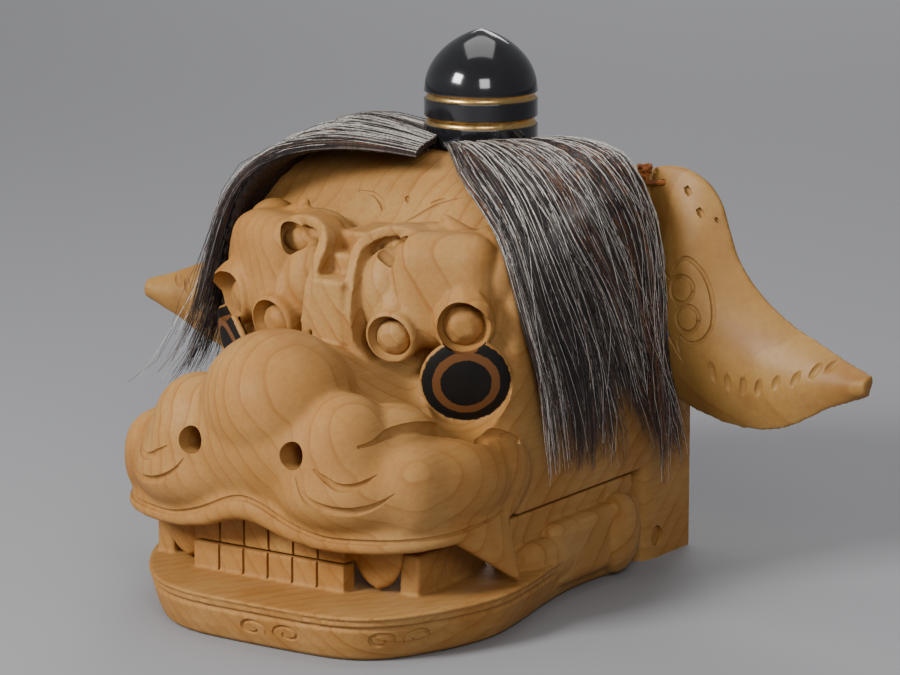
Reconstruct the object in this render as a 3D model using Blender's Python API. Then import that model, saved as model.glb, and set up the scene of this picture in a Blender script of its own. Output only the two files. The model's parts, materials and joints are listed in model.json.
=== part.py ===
"""A carved wooden lion dance mask: hinged jaw, lashed ears, lacquered finial and horsehair mane."""

import math

import bmesh
import bpy
from mathutils import Matrix, Vector
from mathutils.bvhtree import BVHTree

# Driving dimensions of the mask, in metres. The face looks along -Y and the lion's left is +X.
head_half_width = 0.107
head_length = 0.332
head_height = 0.257
wall = 0.015
jaw_height = 0.028
jaw_lean = 0.024
jaw_gap = 0.003
floor_length = 0.150
axle_radius = 0.006
axle_clearance = 0.0005
axle_height = 0.014
axle_inset = 0.039
lug_eye_radius = 0.012
lug_thickness = 0.013
lug_gap = 0.0015
finial_radius = 0.035
finial_height = 0.071
finial_groove = 0.0016
ear_thickness = 0.009
tie_ring = 0.012
tie_radius = 0.0016
tie_clearance = 0.0005
seat_gap = 0.0004
hair_gap = 0.0022

# The carving is laid out on a drawing in millimetres: x sideways, f forward of the finial, z up.
# The drawing's head is this wide, long and high, and its back edge lies this far behind the finial.
drawn_half_width = 107.0
drawn_length = 332.0
drawn_height = 257.0
drawn_back = 75.0
drawn_crown = 254.0
drawn_front = 270.0
drawn_edge = 60.0

clay_voxel = 0.003
nostril_radius = 8.2
groove_step = 5.5
clay_faces = 4000
head_faces = 4300
jaw_faces = 1200
mane_faces = 760


def unit():
    return Vector((
        head_half_width / drawn_half_width,
        head_length / drawn_length,
        head_height / drawn_height,
    ))


def at(x, f, z):
    """The point of the drawing, in metres."""
    size = unit()
    return Vector((x * size.x, -f * size.y, z * size.z))


def clear_scene():
    for thing in list(bpy.data.objects):
        bpy.data.objects.remove(thing)


def show(name, mesh):
    thing = bpy.data.objects.new(name, mesh)
    bpy.context.scene.collection.objects.link(thing)
    return thing


def mesh_from(form, name):
    bmesh.ops.recalc_face_normals(form, faces=form.faces)
    mesh = bpy.data.meshes.new(name)
    form.to_mesh(mesh)
    form.free()
    return mesh


def apply_modifiers(thing):
    """The object's mesh as its modifiers leave it, with the modifiers gone."""
    bpy.context.view_layer.update()
    graph = bpy.context.evaluated_depsgraph_get()
    made = bpy.data.meshes.new_from_object(thing.evaluated_get(graph))
    thing.modifiers.clear()
    thing.data = made
    return thing


class Clay:
    """Rough masses in one mesh, which fuse() later makes one skin."""

    def __init__(self):
        self.form = bmesh.new()
        self.round_mass = template(lambda form: bmesh.ops.create_icosphere(
            form, subdivisions=3, radius=1.0))
        self.small_mass = template(lambda form: bmesh.ops.create_icosphere(
            form, subdivisions=2, radius=1.0))
        self.square_mass = template(lambda form: bmesh.ops.create_cube(form, size=2.0))

    def _add(self, mass, centre, radii, turn=0.0, lean=0.0, roll=0.0):
        placed = mass.copy()
        placed.transform(
            Matrix.Translation(at(*centre))
            @ Matrix.Rotation(math.radians(turn), 4, "Z")
            @ Matrix.Rotation(math.radians(lean), 4, "X")
            @ Matrix.Rotation(math.radians(roll), 4, "Y")
            @ Matrix.Diagonal((*[r * s for r, s in zip(radii, unit())], 1.0))
        )
        self.form.from_mesh(placed)
        bpy.data.meshes.remove(placed)

    def ball(self, centre, radii, turn=0.0, lean=0.0, roll=0.0):
        self._add(self.round_mass, centre, radii, turn, lean, roll)

    def balls(self, centre, radii, turn=0.0, lean=0.0, roll=0.0):
        """The ball and its mirror image."""
        self.ball(centre, radii, turn, lean, roll)
        self.ball((-centre[0], centre[1], centre[2]), radii, -turn, lean, -roll)

    def block(self, centre, half, round_by=0.0, turn=0.0, lean=0.0, roll=0.0):
        """A block with rounded edges, round_by being a share of its smallest half side."""
        least = min(half)

        def rounded(form):
            bmesh.ops.create_cube(form, size=2.0)
            bmesh.ops.scale(form, vec=[h / least for h in half], verts=form.verts)
            if round_by:
                bmesh.ops.bevel(
                    form, geom=form.edges[:], offset=round_by, affect="EDGES",
                    segments=5, profile=0.5, material=-1,
                )
            bmesh.ops.scale(form, vec=[least / h for h in half], verts=form.verts)

        self._add(template(rounded), centre, half, turn, lean, roll)

    def blocks(self, centre, half, round_by=0.0, turn=0.0, lean=0.0, roll=0.0):
        """The block and its mirror image."""
        self.block(centre, half, round_by, turn, lean, roll)
        self.block((-centre[0], centre[1], centre[2]), half, round_by, -turn, lean, -roll)

    def drum(self, centre, radius, half_depth, turn=0.0, lean=0.0):
        """A short round boss with a rounded front, facing -Y before it is turned."""

        def rounded(form):
            bmesh.ops.create_cone(
                form, cap_ends=True, segments=28, radius1=1.0, radius2=1.0, depth=2.0,
                matrix=Matrix.Rotation(math.radians(90), 4, "X"),
            )
            rims = [e for e in form.edges if abs(e.verts[0].co.y - e.verts[1].co.y) < 0.1]
            bmesh.ops.bevel(
                form, geom=rims, offset=0.28, affect="EDGES", segments=4, profile=0.5, material=-1,
            )

        self._add(template(rounded), centre, (radius, half_depth, radius), turn, lean)

    def drums(self, centre, radius, half_depth, turn=0.0, lean=0.0):
        """The boss and its mirror image."""
        self.drum(centre, radius, half_depth, turn, lean)
        self.drum((-centre[0], centre[1], centre[2]), radius, half_depth, -turn, lean)

    def slab(self, profile, low, high):
        """A side profile of (f, z) points, from x = low to x = high."""
        self._extrude([(low, f, z) for f, z in profile], (high - low, 0, 0))

    def round_top(self, above, round_by):
        """Rounds the edges at the sides of everything higher than this."""
        edges = [e for e in self.form.edges if all(v.co.z > above * unit().z for v in e.verts)
                 and abs(e.verts[0].co.x - e.verts[1].co.x) < 1e-5]
        bmesh.ops.bevel(
            self.form, geom=edges, offset=round_by * unit().z, affect="EDGES", segments=4,
            profile=0.5, material=-1,
        )

    def ridge(self, section, low, high):
        """A cross-section of (x, z) points, from f = low to f = high."""
        self._extrude([(x, low, z) for x, z in section], (0, high - low, 0))

    def _extrude(self, outline, way):
        verts = [self.form.verts.new(at(*point)) for point in outline]
        face = self.form.faces.new(verts)
        made = bmesh.ops.extrude_face_region(self.form, geom=[face])["geom"]
        moved = [g for g in made if isinstance(g, bmesh.types.BMVert)]
        bmesh.ops.translate(self.form, verts=moved, vec=at(*way))

    def ribbon(self, points, radii, flat=1.0, mirror=False):
        """A tapering roll through the points, joined from overlapping balls."""
        for side in (1, -1) if mirror else (1,):
            path = smooth_path([Vector((side * p[0], p[1], p[2])) for p in points])
            for i, point in enumerate(path):
                radius = blend_of(radii, i / (len(path) - 1))
                self._add(self.small_mass, point, (radius, radius * flat, radius))

    def band(self, points, widths, depth):
        """A flat raised band with square edges that lies across the face, and its mirror image."""
        for side in (1, -1):
            path = smooth_path([Vector((side * p[0], p[1], p[2])) for p in points], 2.0)
            for i, point in enumerate(path):
                before, after = path[max(i - 1, 0)], path[min(i + 1, len(path) - 1)]
                angle = math.degrees(math.atan2(after.x - before.x, after.z - before.z))
                width = blend_of(widths, i / (len(path) - 1))
                self._add(self.square_mass, point, (width / 2, depth / 2, 1.8), roll=angle)

    def spike(self, root, tip, root_radii, tip_radius, steps=14):
        """A tapering point from root to tip, such as a fang."""
        root, tip = Vector(root), Vector(tip)
        for i in range(steps):
            share = i / (steps - 1)
            radii = [r + (tip_radius - r) * share for r in root_radii]
            self._add(self.small_mass, root.lerp(tip, share), radii)

    def thing(self, name):
        return show(name, mesh_from(self.form, name))


def template(make):
    """A small mesh made once, which masses are copied from."""
    form = bmesh.new()
    make(form)
    mesh = bpy.data.meshes.new("mass")
    form.to_mesh(mesh)
    form.free()
    return mesh


def blend_of(values, share):
    """The value at this share of the way along the list, read straight between its entries."""
    if not isinstance(values, (list, tuple)):
        return values
    place = share * (len(values) - 1)
    i = min(int(place), len(values) - 2)
    return values[i] + (values[i + 1] - values[i]) * (place - i)


def smooth_path(points, step=2.5):
    """Points about a step apart along a smooth curve through those given, in drawing units."""
    points = [Vector(p) for p in points]
    ends = [points[0] * 2 - points[1], *points, points[-1] * 2 - points[-2]]
    found = []
    for a, b, c, d in zip(ends, ends[1:], ends[2:], ends[3:]):
        count = max(2, round((c - b).length / step))
        for i in range(count):
            t = i / count
            found.append(
                0.5 * ((2 * b) + (c - a) * t + (2 * a - 5 * b + 4 * c - d) * t * t
                       + (3 * b - a - 3 * c + d) * t ** 3)
            )
    found.append(points[-1])
    return found


def fuse(thing, voxel, rounds, factor=0.5):
    """One closed skin round all the masses, smoothed as a carver would soften it."""
    remesh = thing.modifiers.new("skin", "REMESH")
    remesh.mode = "VOXEL"
    remesh.voxel_size = voxel
    if rounds:
        soften = thing.modifiers.new("soften", "SMOOTH")
        soften.factor = factor
        soften.iterations = rounds
    return apply_modifiers(thing)


def cut(thing, cutter, solver="EXACT"):
    take = thing.modifiers.new("cut", "BOOLEAN")
    take.operation = "DIFFERENCE"
    take.solver = solver
    take.object = cutter
    apply_modifiers(thing)
    bpy.data.objects.remove(cutter)


def join(thing, other):
    add = thing.modifiers.new("join", "BOOLEAN")
    add.operation = "UNION"
    add.solver = "EXACT"
    add.object = other
    apply_modifiers(thing)
    bpy.data.objects.remove(other)


def thin(thing, faces):
    """Fewer triangles, with the shape kept."""
    now = sum(len(p.vertices) - 2 for p in thing.data.polygons)
    if now > faces:
        less = thing.modifiers.new("less", "DECIMATE")
        less.ratio = faces / now
        less.use_collapse_triangulate = True
        apply_modifiers(thing)


def skin_of(thing):
    form = bmesh.new()
    form.from_mesh(thing.data)
    tree = BVHTree.FromBMesh(form)
    form.free()
    return tree


def forward(turn, lean=0.0):
    """The way a thing faces on the drawing: turned outwards and leaned back by these degrees."""
    turn, lean = math.radians(turn), math.radians(lean)
    return Vector((math.sin(turn) * math.cos(lean), math.cos(turn) * math.cos(lean), math.sin(lean)))


def tube(name, points, radii, step=2.5, sides=6):
    """A tapering rod along a smooth curve through the points, in drawing units."""
    path = smooth_path(points, step)
    curve = bpy.data.curves.new(name, "CURVE")
    curve.dimensions = "3D"
    curve.bevel_depth = unit().z
    curve.bevel_resolution = max(0, (sides - 4) // 2)
    curve.use_fill_caps = True
    line = curve.splines.new("POLY")
    line.points.add(len(path) - 1)
    for i, (spot, point) in enumerate(zip(line.points, path)):
        spot.co = (*at(*point), 1.0)
        spot.radius = blend_of(radii, i / (len(path) - 1))
    return solid_of(show(name, curve))


def solid_of(thing):
    """The closed mesh object that a curve object makes."""
    bpy.context.view_layer.update()
    graph = bpy.context.evaluated_depsgraph_get()
    form = bmesh.new()
    form.from_mesh(bpy.data.meshes.new_from_object(thing.evaluated_get(graph)))
    bmesh.ops.remove_doubles(form, verts=form.verts, dist=1e-6)
    name = thing.name
    bpy.data.objects.remove(thing)
    return show(name, mesh_from(form, name))


def cylinder(name, radius, ends, centre, segments=20):
    """A round bar along X between the two ends, in metres."""
    form = bmesh.new()
    bmesh.ops.create_cone(
        form, cap_ends=True, segments=segments, radius1=radius, radius2=radius, depth=ends[1] - ends[0],
        matrix=Matrix.Translation(((ends[0] + ends[1]) / 2, centre[0], centre[1]))
        @ Matrix.Rotation(math.radians(90), 4, "Y"),
    )
    return show(name, mesh_from(form, name))


def trim(thing, place, way):
    """Cuts off flat what lies past the plane, and closes the cut."""
    form = bmesh.new()
    form.from_mesh(thing.data)
    bmesh.ops.bisect_plane(
        form, geom=form.verts[:] + form.edges[:] + form.faces[:], dist=1e-6,
        plane_co=place, plane_no=way, clear_outer=True,
    )
    open_edges = [e for e in form.edges if e.is_boundary]
    bmesh.ops.holes_fill(form, edges=open_edges, sides=0)
    bmesh.ops.triangulate(form, faces=[f for f in form.faces if len(f.verts) > 4])
    bmesh.ops.recalc_face_normals(form, faces=form.faces)
    form.to_mesh(thing.data)
    form.free()


def largest_body(thing):
    """Drops the loose crumbs that a cut left."""
    form = bmesh.new()
    form.from_mesh(thing.data)
    left = set(form.verts)
    groups = []
    while left:
        seed = left.pop()
        group = {seed}
        edge = [seed]
        while edge:
            for link in edge.pop().link_edges:
                for vert in link.verts:
                    if vert in left:
                        left.discard(vert)
                        group.add(vert)
                        edge.append(vert)
        groups.append(group)
    keep = max(groups, key=len)
    bmesh.ops.delete(form, geom=[v for v in form.verts if v not in keep], context="VERTS")
    form.to_mesh(thing.data)
    form.free()


def swollen(things, grow):
    """One skin round all these things, moved outwards."""
    clay = Clay()
    for thing in things:
        clay.form.from_mesh(thing.data)
    around = fuse(clay.thing("around"), clay_voxel * 0.8, 0)
    normals = [v.normal.copy() for v in around.data.vertices]
    for vert, normal in zip(around.data.vertices, normals):
        vert.co += normal * grow
    return around


# The crown falls towards the back of the head, as (f, z).
crown = ((-90, 234), (-36, 244), (12, 255))


def block_out():
    """The skull and the muzzle, sawn from the block and rounded over."""
    clay = Clay()
    clay.slab(
        [(-90, -12), *crown, (46, 255), (72, 241), (96, 218), (122, 205), (126, 60), (-20, 60),
         (-20, -12)],
        -drawn_half_width, drawn_half_width,
    )
    clay.round_top(200, 11)
    # The crown stays level only under the finial.
    clay.block((0, 0, 247), (40, 40, 9), round_by=0.8)
    # The muzzle: one broad band round the mouth, with a roof that slopes up to the bridge of the nose.
    clay.block((0, 168, 88), (112, 62, 29), round_by=0.8)
    clay.balls((54, 199, 87), (50, 56, 31), turn=-22)
    clay.balls((84, 179, 87), (36, 60, 31), turn=-10)
    roof = [(24, 151), (62, 125), (98, 106), (104, 70)]
    clay.ridge([(-x, z) for x, z in reversed(roof)] + roof, 100, 198)
    clay.ball((0, 213, 108), (70, 39, 44))
    clay.balls((48, 214, 106), (36, 36, 34))
    clay.balls((74, 122, 132), (31, 29, 34))
    return fuse(clay.thing("block"), 2 * clay_voxel, 7)


# The brows' round hollows: the rim's centre, outward turn, backward lean, radius, the knob's share of it.
brow_hollows = (
    ((43, 162, 165), 8, -10, 14.0, 0.72),
    ((84, 145, 172), 33, -6, 15.5, 0.76),
)
boss_wall = 2.6
boss_depth = 18
# The eye: the dome's place, outward turn, backward lean, radius and height.
eye = ((87, 146, 140), 36, -16, 25.6, 10.0)


def face_masses(clay):
    """The nose, its wings, the ground of the eyes and the cheeks' rounded ends."""
    clay.ball((0, 210, 130), (47, 45, 44))
    clay.ball((0, 178, 130), (36, 46, 30))
    clay.balls((53, 219, 115), (29, 30, 31), turn=-20)
    clay.balls((66, 196, 114), (25, 34, 22), turn=-30)
    clay.balls((82, 132, 136), (26, 24, 26))
    clay.balls((99, 142, 86), (16, 36, 27), turn=-6)


def brow_masses(clay):
    """Each brow is a block turned outwards, with a knob above, a lobe outside and two bosses below."""
    clay.blocks((58, 120, 190), (33, 30, 34), round_by=0.6, turn=22, lean=-4)
    clay.balls((64, 116, 190), (37, 32, 36), turn=24)
    clay.balls((80, 106, 212), (15, 18, 16))
    clay.balls((91, 108, 198), (14, 21, 21))
    for place, turn, lean, radius, _ in brow_hollows:
        centre = Vector(place) - forward(turn, lean) * boss_depth
        clay.drums(centre, radius + boss_wall, boss_depth, turn=turn, lean=lean)
    for side in (1, -1):
        # The inner boss tapers up like a drop, the outer one runs back, and two flame points stand above.
        clay.spike((side * 42, 151, 170), (side * 31, 142, 209), (16, 10, 14), 2.5)
        clay.spike((side * 84, 137, 178), (side * 60, 122, 206), (17, 12, 15), 9)
        clay.spike((side * 84, 108, 214), (side * 58, 106, 236), (9, 10, 9), 2.5)
        clay.spike((side * 92, 104, 203), (side * 83, 98, 228), (9, 10, 9), 2.5)
    clay.balls((42, 124, 210), (27, 21, 20))
    clay.balls((32, 139, 186), (15, 20, 28))
    # The column between the brows and the wrinkles that climb from it.
    clay.block((1, 140, 168), (11.5, 25, 28), round_by=0.25)
    clay.block((-1, 126, 201), (12, 19, 7), round_by=0.3)
    clay.block((-1, 112, 212), (12, 19, 7), round_by=0.3)


def ribbons(clay):
    """The raised bands that run up beside the column and curl over each brow's knob."""
    clay.band(
        [(26, 152, 147), (17, 159, 158), (15, 161, 174), (15, 158, 190), (13, 151, 205), (13, 143, 217),
         (22, 136, 226), (36, 133, 230), (49, 131, 228), (58, 131, 221), (62, 133, 212), (57, 136, 205)],
        [3, 6.5, 7.5, 7.5, 8, 9, 9, 7.5, 6.5, 6, 5, 3], 20,
    )


def lip(clay):
    """The rolled edge of the upper lip: a bow in the middle, a sag at each side, and up to the corner."""
    half = [(0, 246, 77), (14, 245, 75), (28, 243, 68), (42, 241, 63), (57, 238, 61), (79, 232, 62),
            (96, 223, 63), (107, 208, 64), (113, 190, 64), (114, 168, 65), (112, 146, 67), (108, 126, 71)]
    whole = [(-x, f, z) for x, f, z in reversed(half)] + half[1:]
    clay.ribbon(whole, [5, 5.5, 6, 6, 6.5, 8, 6.5, 6, 6, 5.5, 5])


canine_width = 20.0
canine_length = 29.0
canine_steps = 16


def upper_teeth(clay):
    """A row of front teeth, a leaf-shaped canine at each end and a long fang at each corner."""
    clay.block((0, 214, 58), (54, 6, 13), round_by=0.25)
    for side in (1, -1):
        for i in range(canine_steps):
            share = i / (canine_steps - 1)
            width = canine_width * (1 - share ** 2.2 + 0.2 * share)
            clay.ball((side * (66 + 2 * share), 209 - 2 * share, 62 - canine_length * share),
                      (width, 6.5 - 2 * share, 4.5))
        clay.spike((side * 112, 170, 64), (side * 125, 150, 32), (7, 30, 8), 2.4, steps=22)


def set_eyes(head):
    """A shallow round socket on each side with a low dome in it."""
    place, turn, lean, radius, height = eye
    way = forward(turn, lean)
    socket = Clay()
    socket.balls(Vector(place) - way, (radius + 2.0, height, radius + 2.0), turn, lean)
    cut(head, socket.thing("socket"))
    clay = Clay()
    clay.form.from_mesh(head.data)
    clay.balls(Vector(place) - way * (height + 1.5), (radius + 0.8, height, radius + 0.8), turn, lean)
    bpy.data.objects.remove(head)
    return fuse(clay.thing("head"), clay_voxel * 0.8, 1)


def hollow_brows(head):
    """Sinks the round hollows in the brows and leaves a knob standing in each."""
    cups = Clay()
    knobs = Clay()
    for place, turn, lean, radius, knob in brow_hollows:
        way = forward(turn, lean)
        cups.balls(Vector(place) + way * (0.1 * radius), (radius,) * 3)
        knobs.balls(Vector(place) - way * (0.55 * radius) - Vector((0, 0, 0.1 * radius)),
                    (knob * radius, 0.62 * radius, knob * radius), turn, lean)
    # The upper knob stands in a wide shallow dish.
    cups.balls((38, 146, 215), (17, 10, 11), turn=8, lean=20)
    knobs.balls((36, 138, 213), (10, 6, 7.5), turn=8, lean=20)
    cut(head, cups.thing("cups"))
    clay = Clay()
    clay.form.from_mesh(head.data)
    knob_thing = knobs.thing("knobs")
    clay.form.from_mesh(knob_thing.data)
    bpy.data.objects.remove(knob_thing)
    bpy.data.objects.remove(head)
    return fuse(clay.thing("head"), clay_voxel * 0.8, 1)


def hollow_head(head):
    """The inside, open at the back and below: a box behind the face and a lower one in the muzzle."""
    side = drawn_half_width - wall / unit().x
    thick = wall / unit().z
    top = drawn_crown - thick
    ceiling = [(f, min(z, drawn_crown) - thick) for f, z in crown]
    clay = Clay()
    clay.slab(
        [(-110, -30), (-110, ceiling[0][1]), *ceiling, (38, top), (60, top - 12), (80, top - 31),
         (98, top - 42), (98, -30)],
        -side, side,
    )
    cut(head, clay.thing("inside"))
    clay = Clay()
    clay.block((0, 130, 40), (84, 68, 76), round_by=0.25)
    cut(head, clay.thing("mouth"))


def on_skin(skin, points, sink=0.0):
    """The nearest points of the skin to those of the drawing, sunk into it by some units."""
    size = unit()
    found = []
    for point in smooth_path(points, 4.0):
        place, normal, _, _ = skin.find_nearest(at(*point))
        place = place - normal * sink * size.z
        found.append(Vector((place.x / size.x, -place.y / size.y, place.z / size.z)))
    return found


def groove(thing, skin, points, radii, mirror=True):
    """A gouge cut along the points, laid on the skin."""
    for side in (1, -1) if mirror else (1,):
        path = on_skin(skin, [(side * p[0], p[1], p[2]) for p in points], sink=0.2)
        # The exact solver loses the head where a gouge runs nearly flush with its skin.
        cut(thing, tube("gouge", path, radii, step=groove_step), solver="MANIFOLD")


def head_grooves(head):
    skin = skin_of(head)
    groove(head, skin, [(47, 243, 103), (53, 238, 95), (63, 234, 92), (72, 229, 93), (79, 223, 97)],
           [0.8, 2.6, 3.0, 2.6, 0.8])
    groove(head, skin,
           [(39, 247, 100), (46, 243, 88), (58, 238, 80), (72, 233, 79), (86, 228, 84), (96, 220, 94)],
           [0.8, 2.6, 3.2, 3.2, 2.6, 0.8])
    groove(head, skin, [(9, 92, 219), (15, 88, 223), (24, 82, 229), (38, 76, 234)], [0.6, 1.6, 2.2, 0.6])
    # The step behind the crest of each cheek.
    groove(head, skin,
           [(62, 226, 114), (72, 214, 119), (84, 194, 121), (95, 168, 119), (103, 142, 114),
            (107, 122, 104)],
           [1.0, 4.0, 5.0, 5.0, 4.5, 2.0])
    # The groove over the lip's rolled edge runs right across.
    half = [(0, 253, 85), (14, 252, 83), (28, 251, 76), (43, 249, 71), (58, 246, 70), (80, 238, 72),
            (97, 229, 73), (109, 214, 74), (116, 194, 75), (118, 170, 76), (115, 150, 79)]
    whole = [(-x, f, z) for x, f, z in reversed(half)] + half[1:]
    groove(head, skin, whole, [0.8, 2.2, 2.2, 2.2, 2.2, 2.2, 0.8], mirror=False)


tooth_pitch = 17.6


def tooth_slots(thing, front, low, high, count=6):
    """The narrow cuts between the front teeth."""
    clay = Clay()
    for i in range(1, count):
        clay.block(((i - count / 2) * tooth_pitch, front, (low + high) / 2), (1.0, 2.2, (high - low) / 2))
    cut(thing, clay.thing("slots"))


def bore_nostrils(head):
    for side in (1, -1):
        cut(head, tube(
            "nostril", [(side * 36, 262, 112), (side * 36, 240, 111), (side * 35, 212, 109)],
            nostril_radius, step=30, sides=12,
        ))


def axle_place():
    """Where the axle runs, in y and z."""
    return drawn_back * unit().y - axle_inset, axle_height


def tie_torus(name, side, extra=0.0):
    """The ring of cord that lashes an ear to the head's side, or with extra the tunnel that it runs in."""
    form = bmesh.new()
    turns, sides = 12, 6
    radius = tie_radius + extra
    centre = at(side * drawn_half_width, *ear_root)
    for i in range(sides):
        angle = math.tau * i / sides
        form.verts.new((tie_ring + radius * math.cos(angle), 0, radius * math.sin(angle)))
    loop = form.verts[:]
    for a, b in zip(loop, loop[1:] + loop[:1]):
        form.edges.new((a, b))
    bmesh.ops.spin(
        form, geom=form.edges[:] + form.verts[:], cent=(0, 0, 0), axis=(0, 0, 1),
        angle=math.tau, steps=turns, use_merge=True,
    )
    bmesh.ops.remove_doubles(form, verts=form.verts, dist=1e-6)
    bmesh.ops.translate(form, verts=form.verts, vec=centre)
    return show(name, mesh_from(form, name))


def make_head():
    block = block_out()
    clay = Clay()
    clay.form.from_mesh(block.data)
    bpy.data.objects.remove(block)
    face_masses(clay)
    lip(clay)
    soft = fuse(clay.thing("soft"), clay_voxel, 4)
    clay = Clay()
    clay.form.from_mesh(soft.data)
    bpy.data.objects.remove(soft)
    brow_masses(clay)
    ribbons(clay)
    upper_teeth(clay)
    head = fuse(clay.thing("head"), clay_voxel * 0.8, 1)
    head = set_eyes(head)
    head = hollow_brows(head)
    thin(head, clay_faces)
    bore_nostrils(head)
    head_grooves(head)
    thin(head, head_faces)
    hollow_head(head)
    tooth_slots(head, 221, 44, 70)
    trim(head, at(0, 0, 0), (0, 0, -1))
    trim(head, at(0, 0, drawn_crown), (0, 0, 1))
    trim(head, at(0, -drawn_back, 0), (0, 1, 0))
    reach = head_half_width * 1.1
    cut(head, cylinder("bore", axle_radius + axle_clearance, (-reach, reach), axle_place()))
    for side in (1, -1):
        cut(head, tie_torus("tunnel", side, tie_clearance))
    return head


# Half of the jaw's rim on the drawing, from the middle of the front to the end of its arm.
jaw_rim = ((0, 270), (30, 269.5), (53, 267), (73, 259), (90, 244), (105, 221), (115, 200), (121, 180),
           (123, 160), (121, 129), (117, 100), (113, 60), (114, 30), (116, 12), (113, -2), (105, -8))


def jaw_shift(f):
    """The jaw is carved askew: its front stands over to the lion's left."""
    return jaw_lean / unit().x * (max(f, 0.0) / drawn_front) ** 2


def jaw_ring(inset):
    """The rim's outline drawn in by some units, all the way round, in drawing units."""
    half = smooth_path([(x, f, 0) for x, f in jaw_rim], 9.0)
    whole = half[::-1] + [Vector((-p.x, p.y, 0)) for p in half[1:]]
    found = []
    for before, here, after in zip(whole[:1] + whole[:-1], whole, whole[1:] + whole[-1:]):
        way = (after - before).normalized()
        found.append(here + Vector((-way.y, way.x, 0)) * inset)
    return [Vector((p.x + jaw_shift(p.y), p.y, 0)) for p in found]


def jaw_plate():
    """The jaw's floor and rim: a shelf, a cove under its edge and a band drawn in towards the ground."""
    top = jaw_height / unit().z
    form = bmesh.new()
    rings = []
    for z, inset in ((0, 12), (0.1, 8.5), (0.3, 6), (0.68, 3.2), (0.8, 0.8), (0.83, 3), (0.89, 3),
                     (0.91, 0.4), (0.97, 0), (1.0, 1.2)):
        rings.append([form.verts.new(at(p.x, p.y, z * top)) for p in jaw_ring(inset)])
    for low, high in zip(rings, rings[1:]):
        for i in range(len(low)):
            j = (i + 1) % len(low)
            form.faces.new((low[i], low[j], high[j], high[i]))
    form.faces.new(rings[0])
    form.faces.new(rings[-1])
    return show("lower_jaw", mesh_from(form, "lower_jaw"))


def make_jaw():
    jaw = jaw_plate()
    lug_outer = (head_half_width - wall - lug_gap) / unit().x
    lug = lug_thickness / unit().x
    axle_y, axle_z = axle_place()
    axle_f = -axle_y / unit().y
    edge = drawn_edge - jaw_gap / unit().z
    # The floor ends behind the teeth: from there back the jaw is two arms.
    clay = Clay()
    floor_end = drawn_front - floor_length / unit().y
    clay.block((0, floor_end - 100, 40), (97, 100, 60), round_by=0.1)
    cut(jaw, clay.thing("opening"))
    for side in (1, -1):
        # The arm's wall, the swelling of its ridge, and the knuckle at its end.
        arm = Clay()
        arm.block((side * 98.5, 58, (edge + 8) / 2), (5.5, 68, (edge - 8) / 2), round_by=0.5)
        arm.block((side * 106, 42, 28), (9, 50, 20), round_by=0.8)
        arm.ball((side * 108, 96, 27), (10, 34, 14), lean=-8)
        arm.ball((side * 108, 14, 27), (12, 22, 25))
        join(jaw, fuse(arm.thing("arm"), clay_voxel, 3))
        cross = Clay()
        cross.block((side * (lug_outer - lug + 12), 6, 24), (12.5, 9, 15), round_by=0.15)
        join(jaw, cross.thing("cross"))
        lug_mass = Clay()
        lug_mass.block((side * (lug_outer - lug / 2), (axle_f + 6) / 2, axle_z / unit().z),
                       (lug / 2, (6 - axle_f) / 2, lug_eye_radius / unit().z))
        join(jaw, lug_mass.thing("lug"))
        ends = sorted((side * lug_outer * unit().x, side * (lug_outer - lug) * unit().x))
        join(jaw, cylinder("eye", lug_eye_radius, ends, axle_place(), segments=18))
    # The lower teeth: a wall of front teeth and a low row down each side.
    teeth = Clay()
    teeth.block((0, 219, 34), (54, 6, 9.5), round_by=0.2)
    teeth.block((86, 163, 36), (5.5, 32, 11.5), round_by=0.35, turn=4)
    teeth.block((-82, 163, 36), (5.5, 32, 11.5), round_by=0.35, turn=-4)
    join(jaw, teeth.thing("teeth"))
    tooth_slots(jaw, 225.5, 29.5, 44)
    trim(jaw, at(0, 0, 0), (0, 0, -1))
    thin(jaw, jaw_faces)
    reach = head_half_width
    cut(jaw, cylinder("bore", axle_radius + axle_clearance, (-reach, reach), axle_place()))
    return jaw


def make_axle():
    reach = head_half_width - 0.002
    return cylinder("jaw_axle", axle_radius, (-reach, reach), axle_place(), segments=20)


def make_finial():
    """The turned finial: a straight drum with two grooves under an onion dome."""
    r, h, g = finial_radius, finial_height, finial_groove
    side = [(0.0, 0.0), (1.0 * r, 0.0), (r, 0.19 * h), (r - g, 0.19 * h + g), (r, 0.19 * h + 2 * g),
            (r, 0.41 * h), (r - g, 0.41 * h + g), (r, 0.41 * h + 2 * g)]
    dome = 0.56 * h
    for i in range(9):
        share = i / 9
        up = math.sin(share * math.pi / 2)
        side.append((r * math.cos(share * math.pi / 2) ** 0.66, h - dome + dome * 0.87 * up))
    side.append((0.0, h))
    form = bmesh.new()
    verts = [form.verts.new((x, 0, z)) for x, z in side]
    for a, b in zip(verts, verts[1:]):
        form.edges.new((a, b))
    bmesh.ops.spin(
        form, geom=form.verts[:] + form.edges[:], cent=(0, 0, 0), axis=(0, 0, 1),
        angle=math.tau, steps=18, use_merge=True,
    )
    bmesh.ops.remove_doubles(form, verts=form.verts, dist=1e-6)
    bmesh.ops.translate(form, verts=form.verts, vec=at(0, 0, drawn_crown) + Vector((0, 0, seat_gap)))
    return show("finial", mesh_from(form, "finial"))


# The ear's outline, from its root to its tip: the outer edge and the inner one, as (x, z).
ear_root = (-30.0, 238.0)
ear_outer = ((110, 247), (128, 246), (146, 235), (154, 222), (159, 208), (169, 193), (190, 172), (212, 159),
             (238, 146), (255, 136), (268, 127))
ear_inner = ((0, 236), (0, 214), (0, 182), (0, 152), (3, 130), (17, 112), (42, 98), (71, 94), (101, 101),
             (131, 114), (158, 121))
ear_camber = (0, 4, 9, 14, 17, 18, 17, 15, 12, 8, 4)
ear_sweep = (0, 0, 0, 0, 1, 2, 4, 7, 11, 15, 19)


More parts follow.
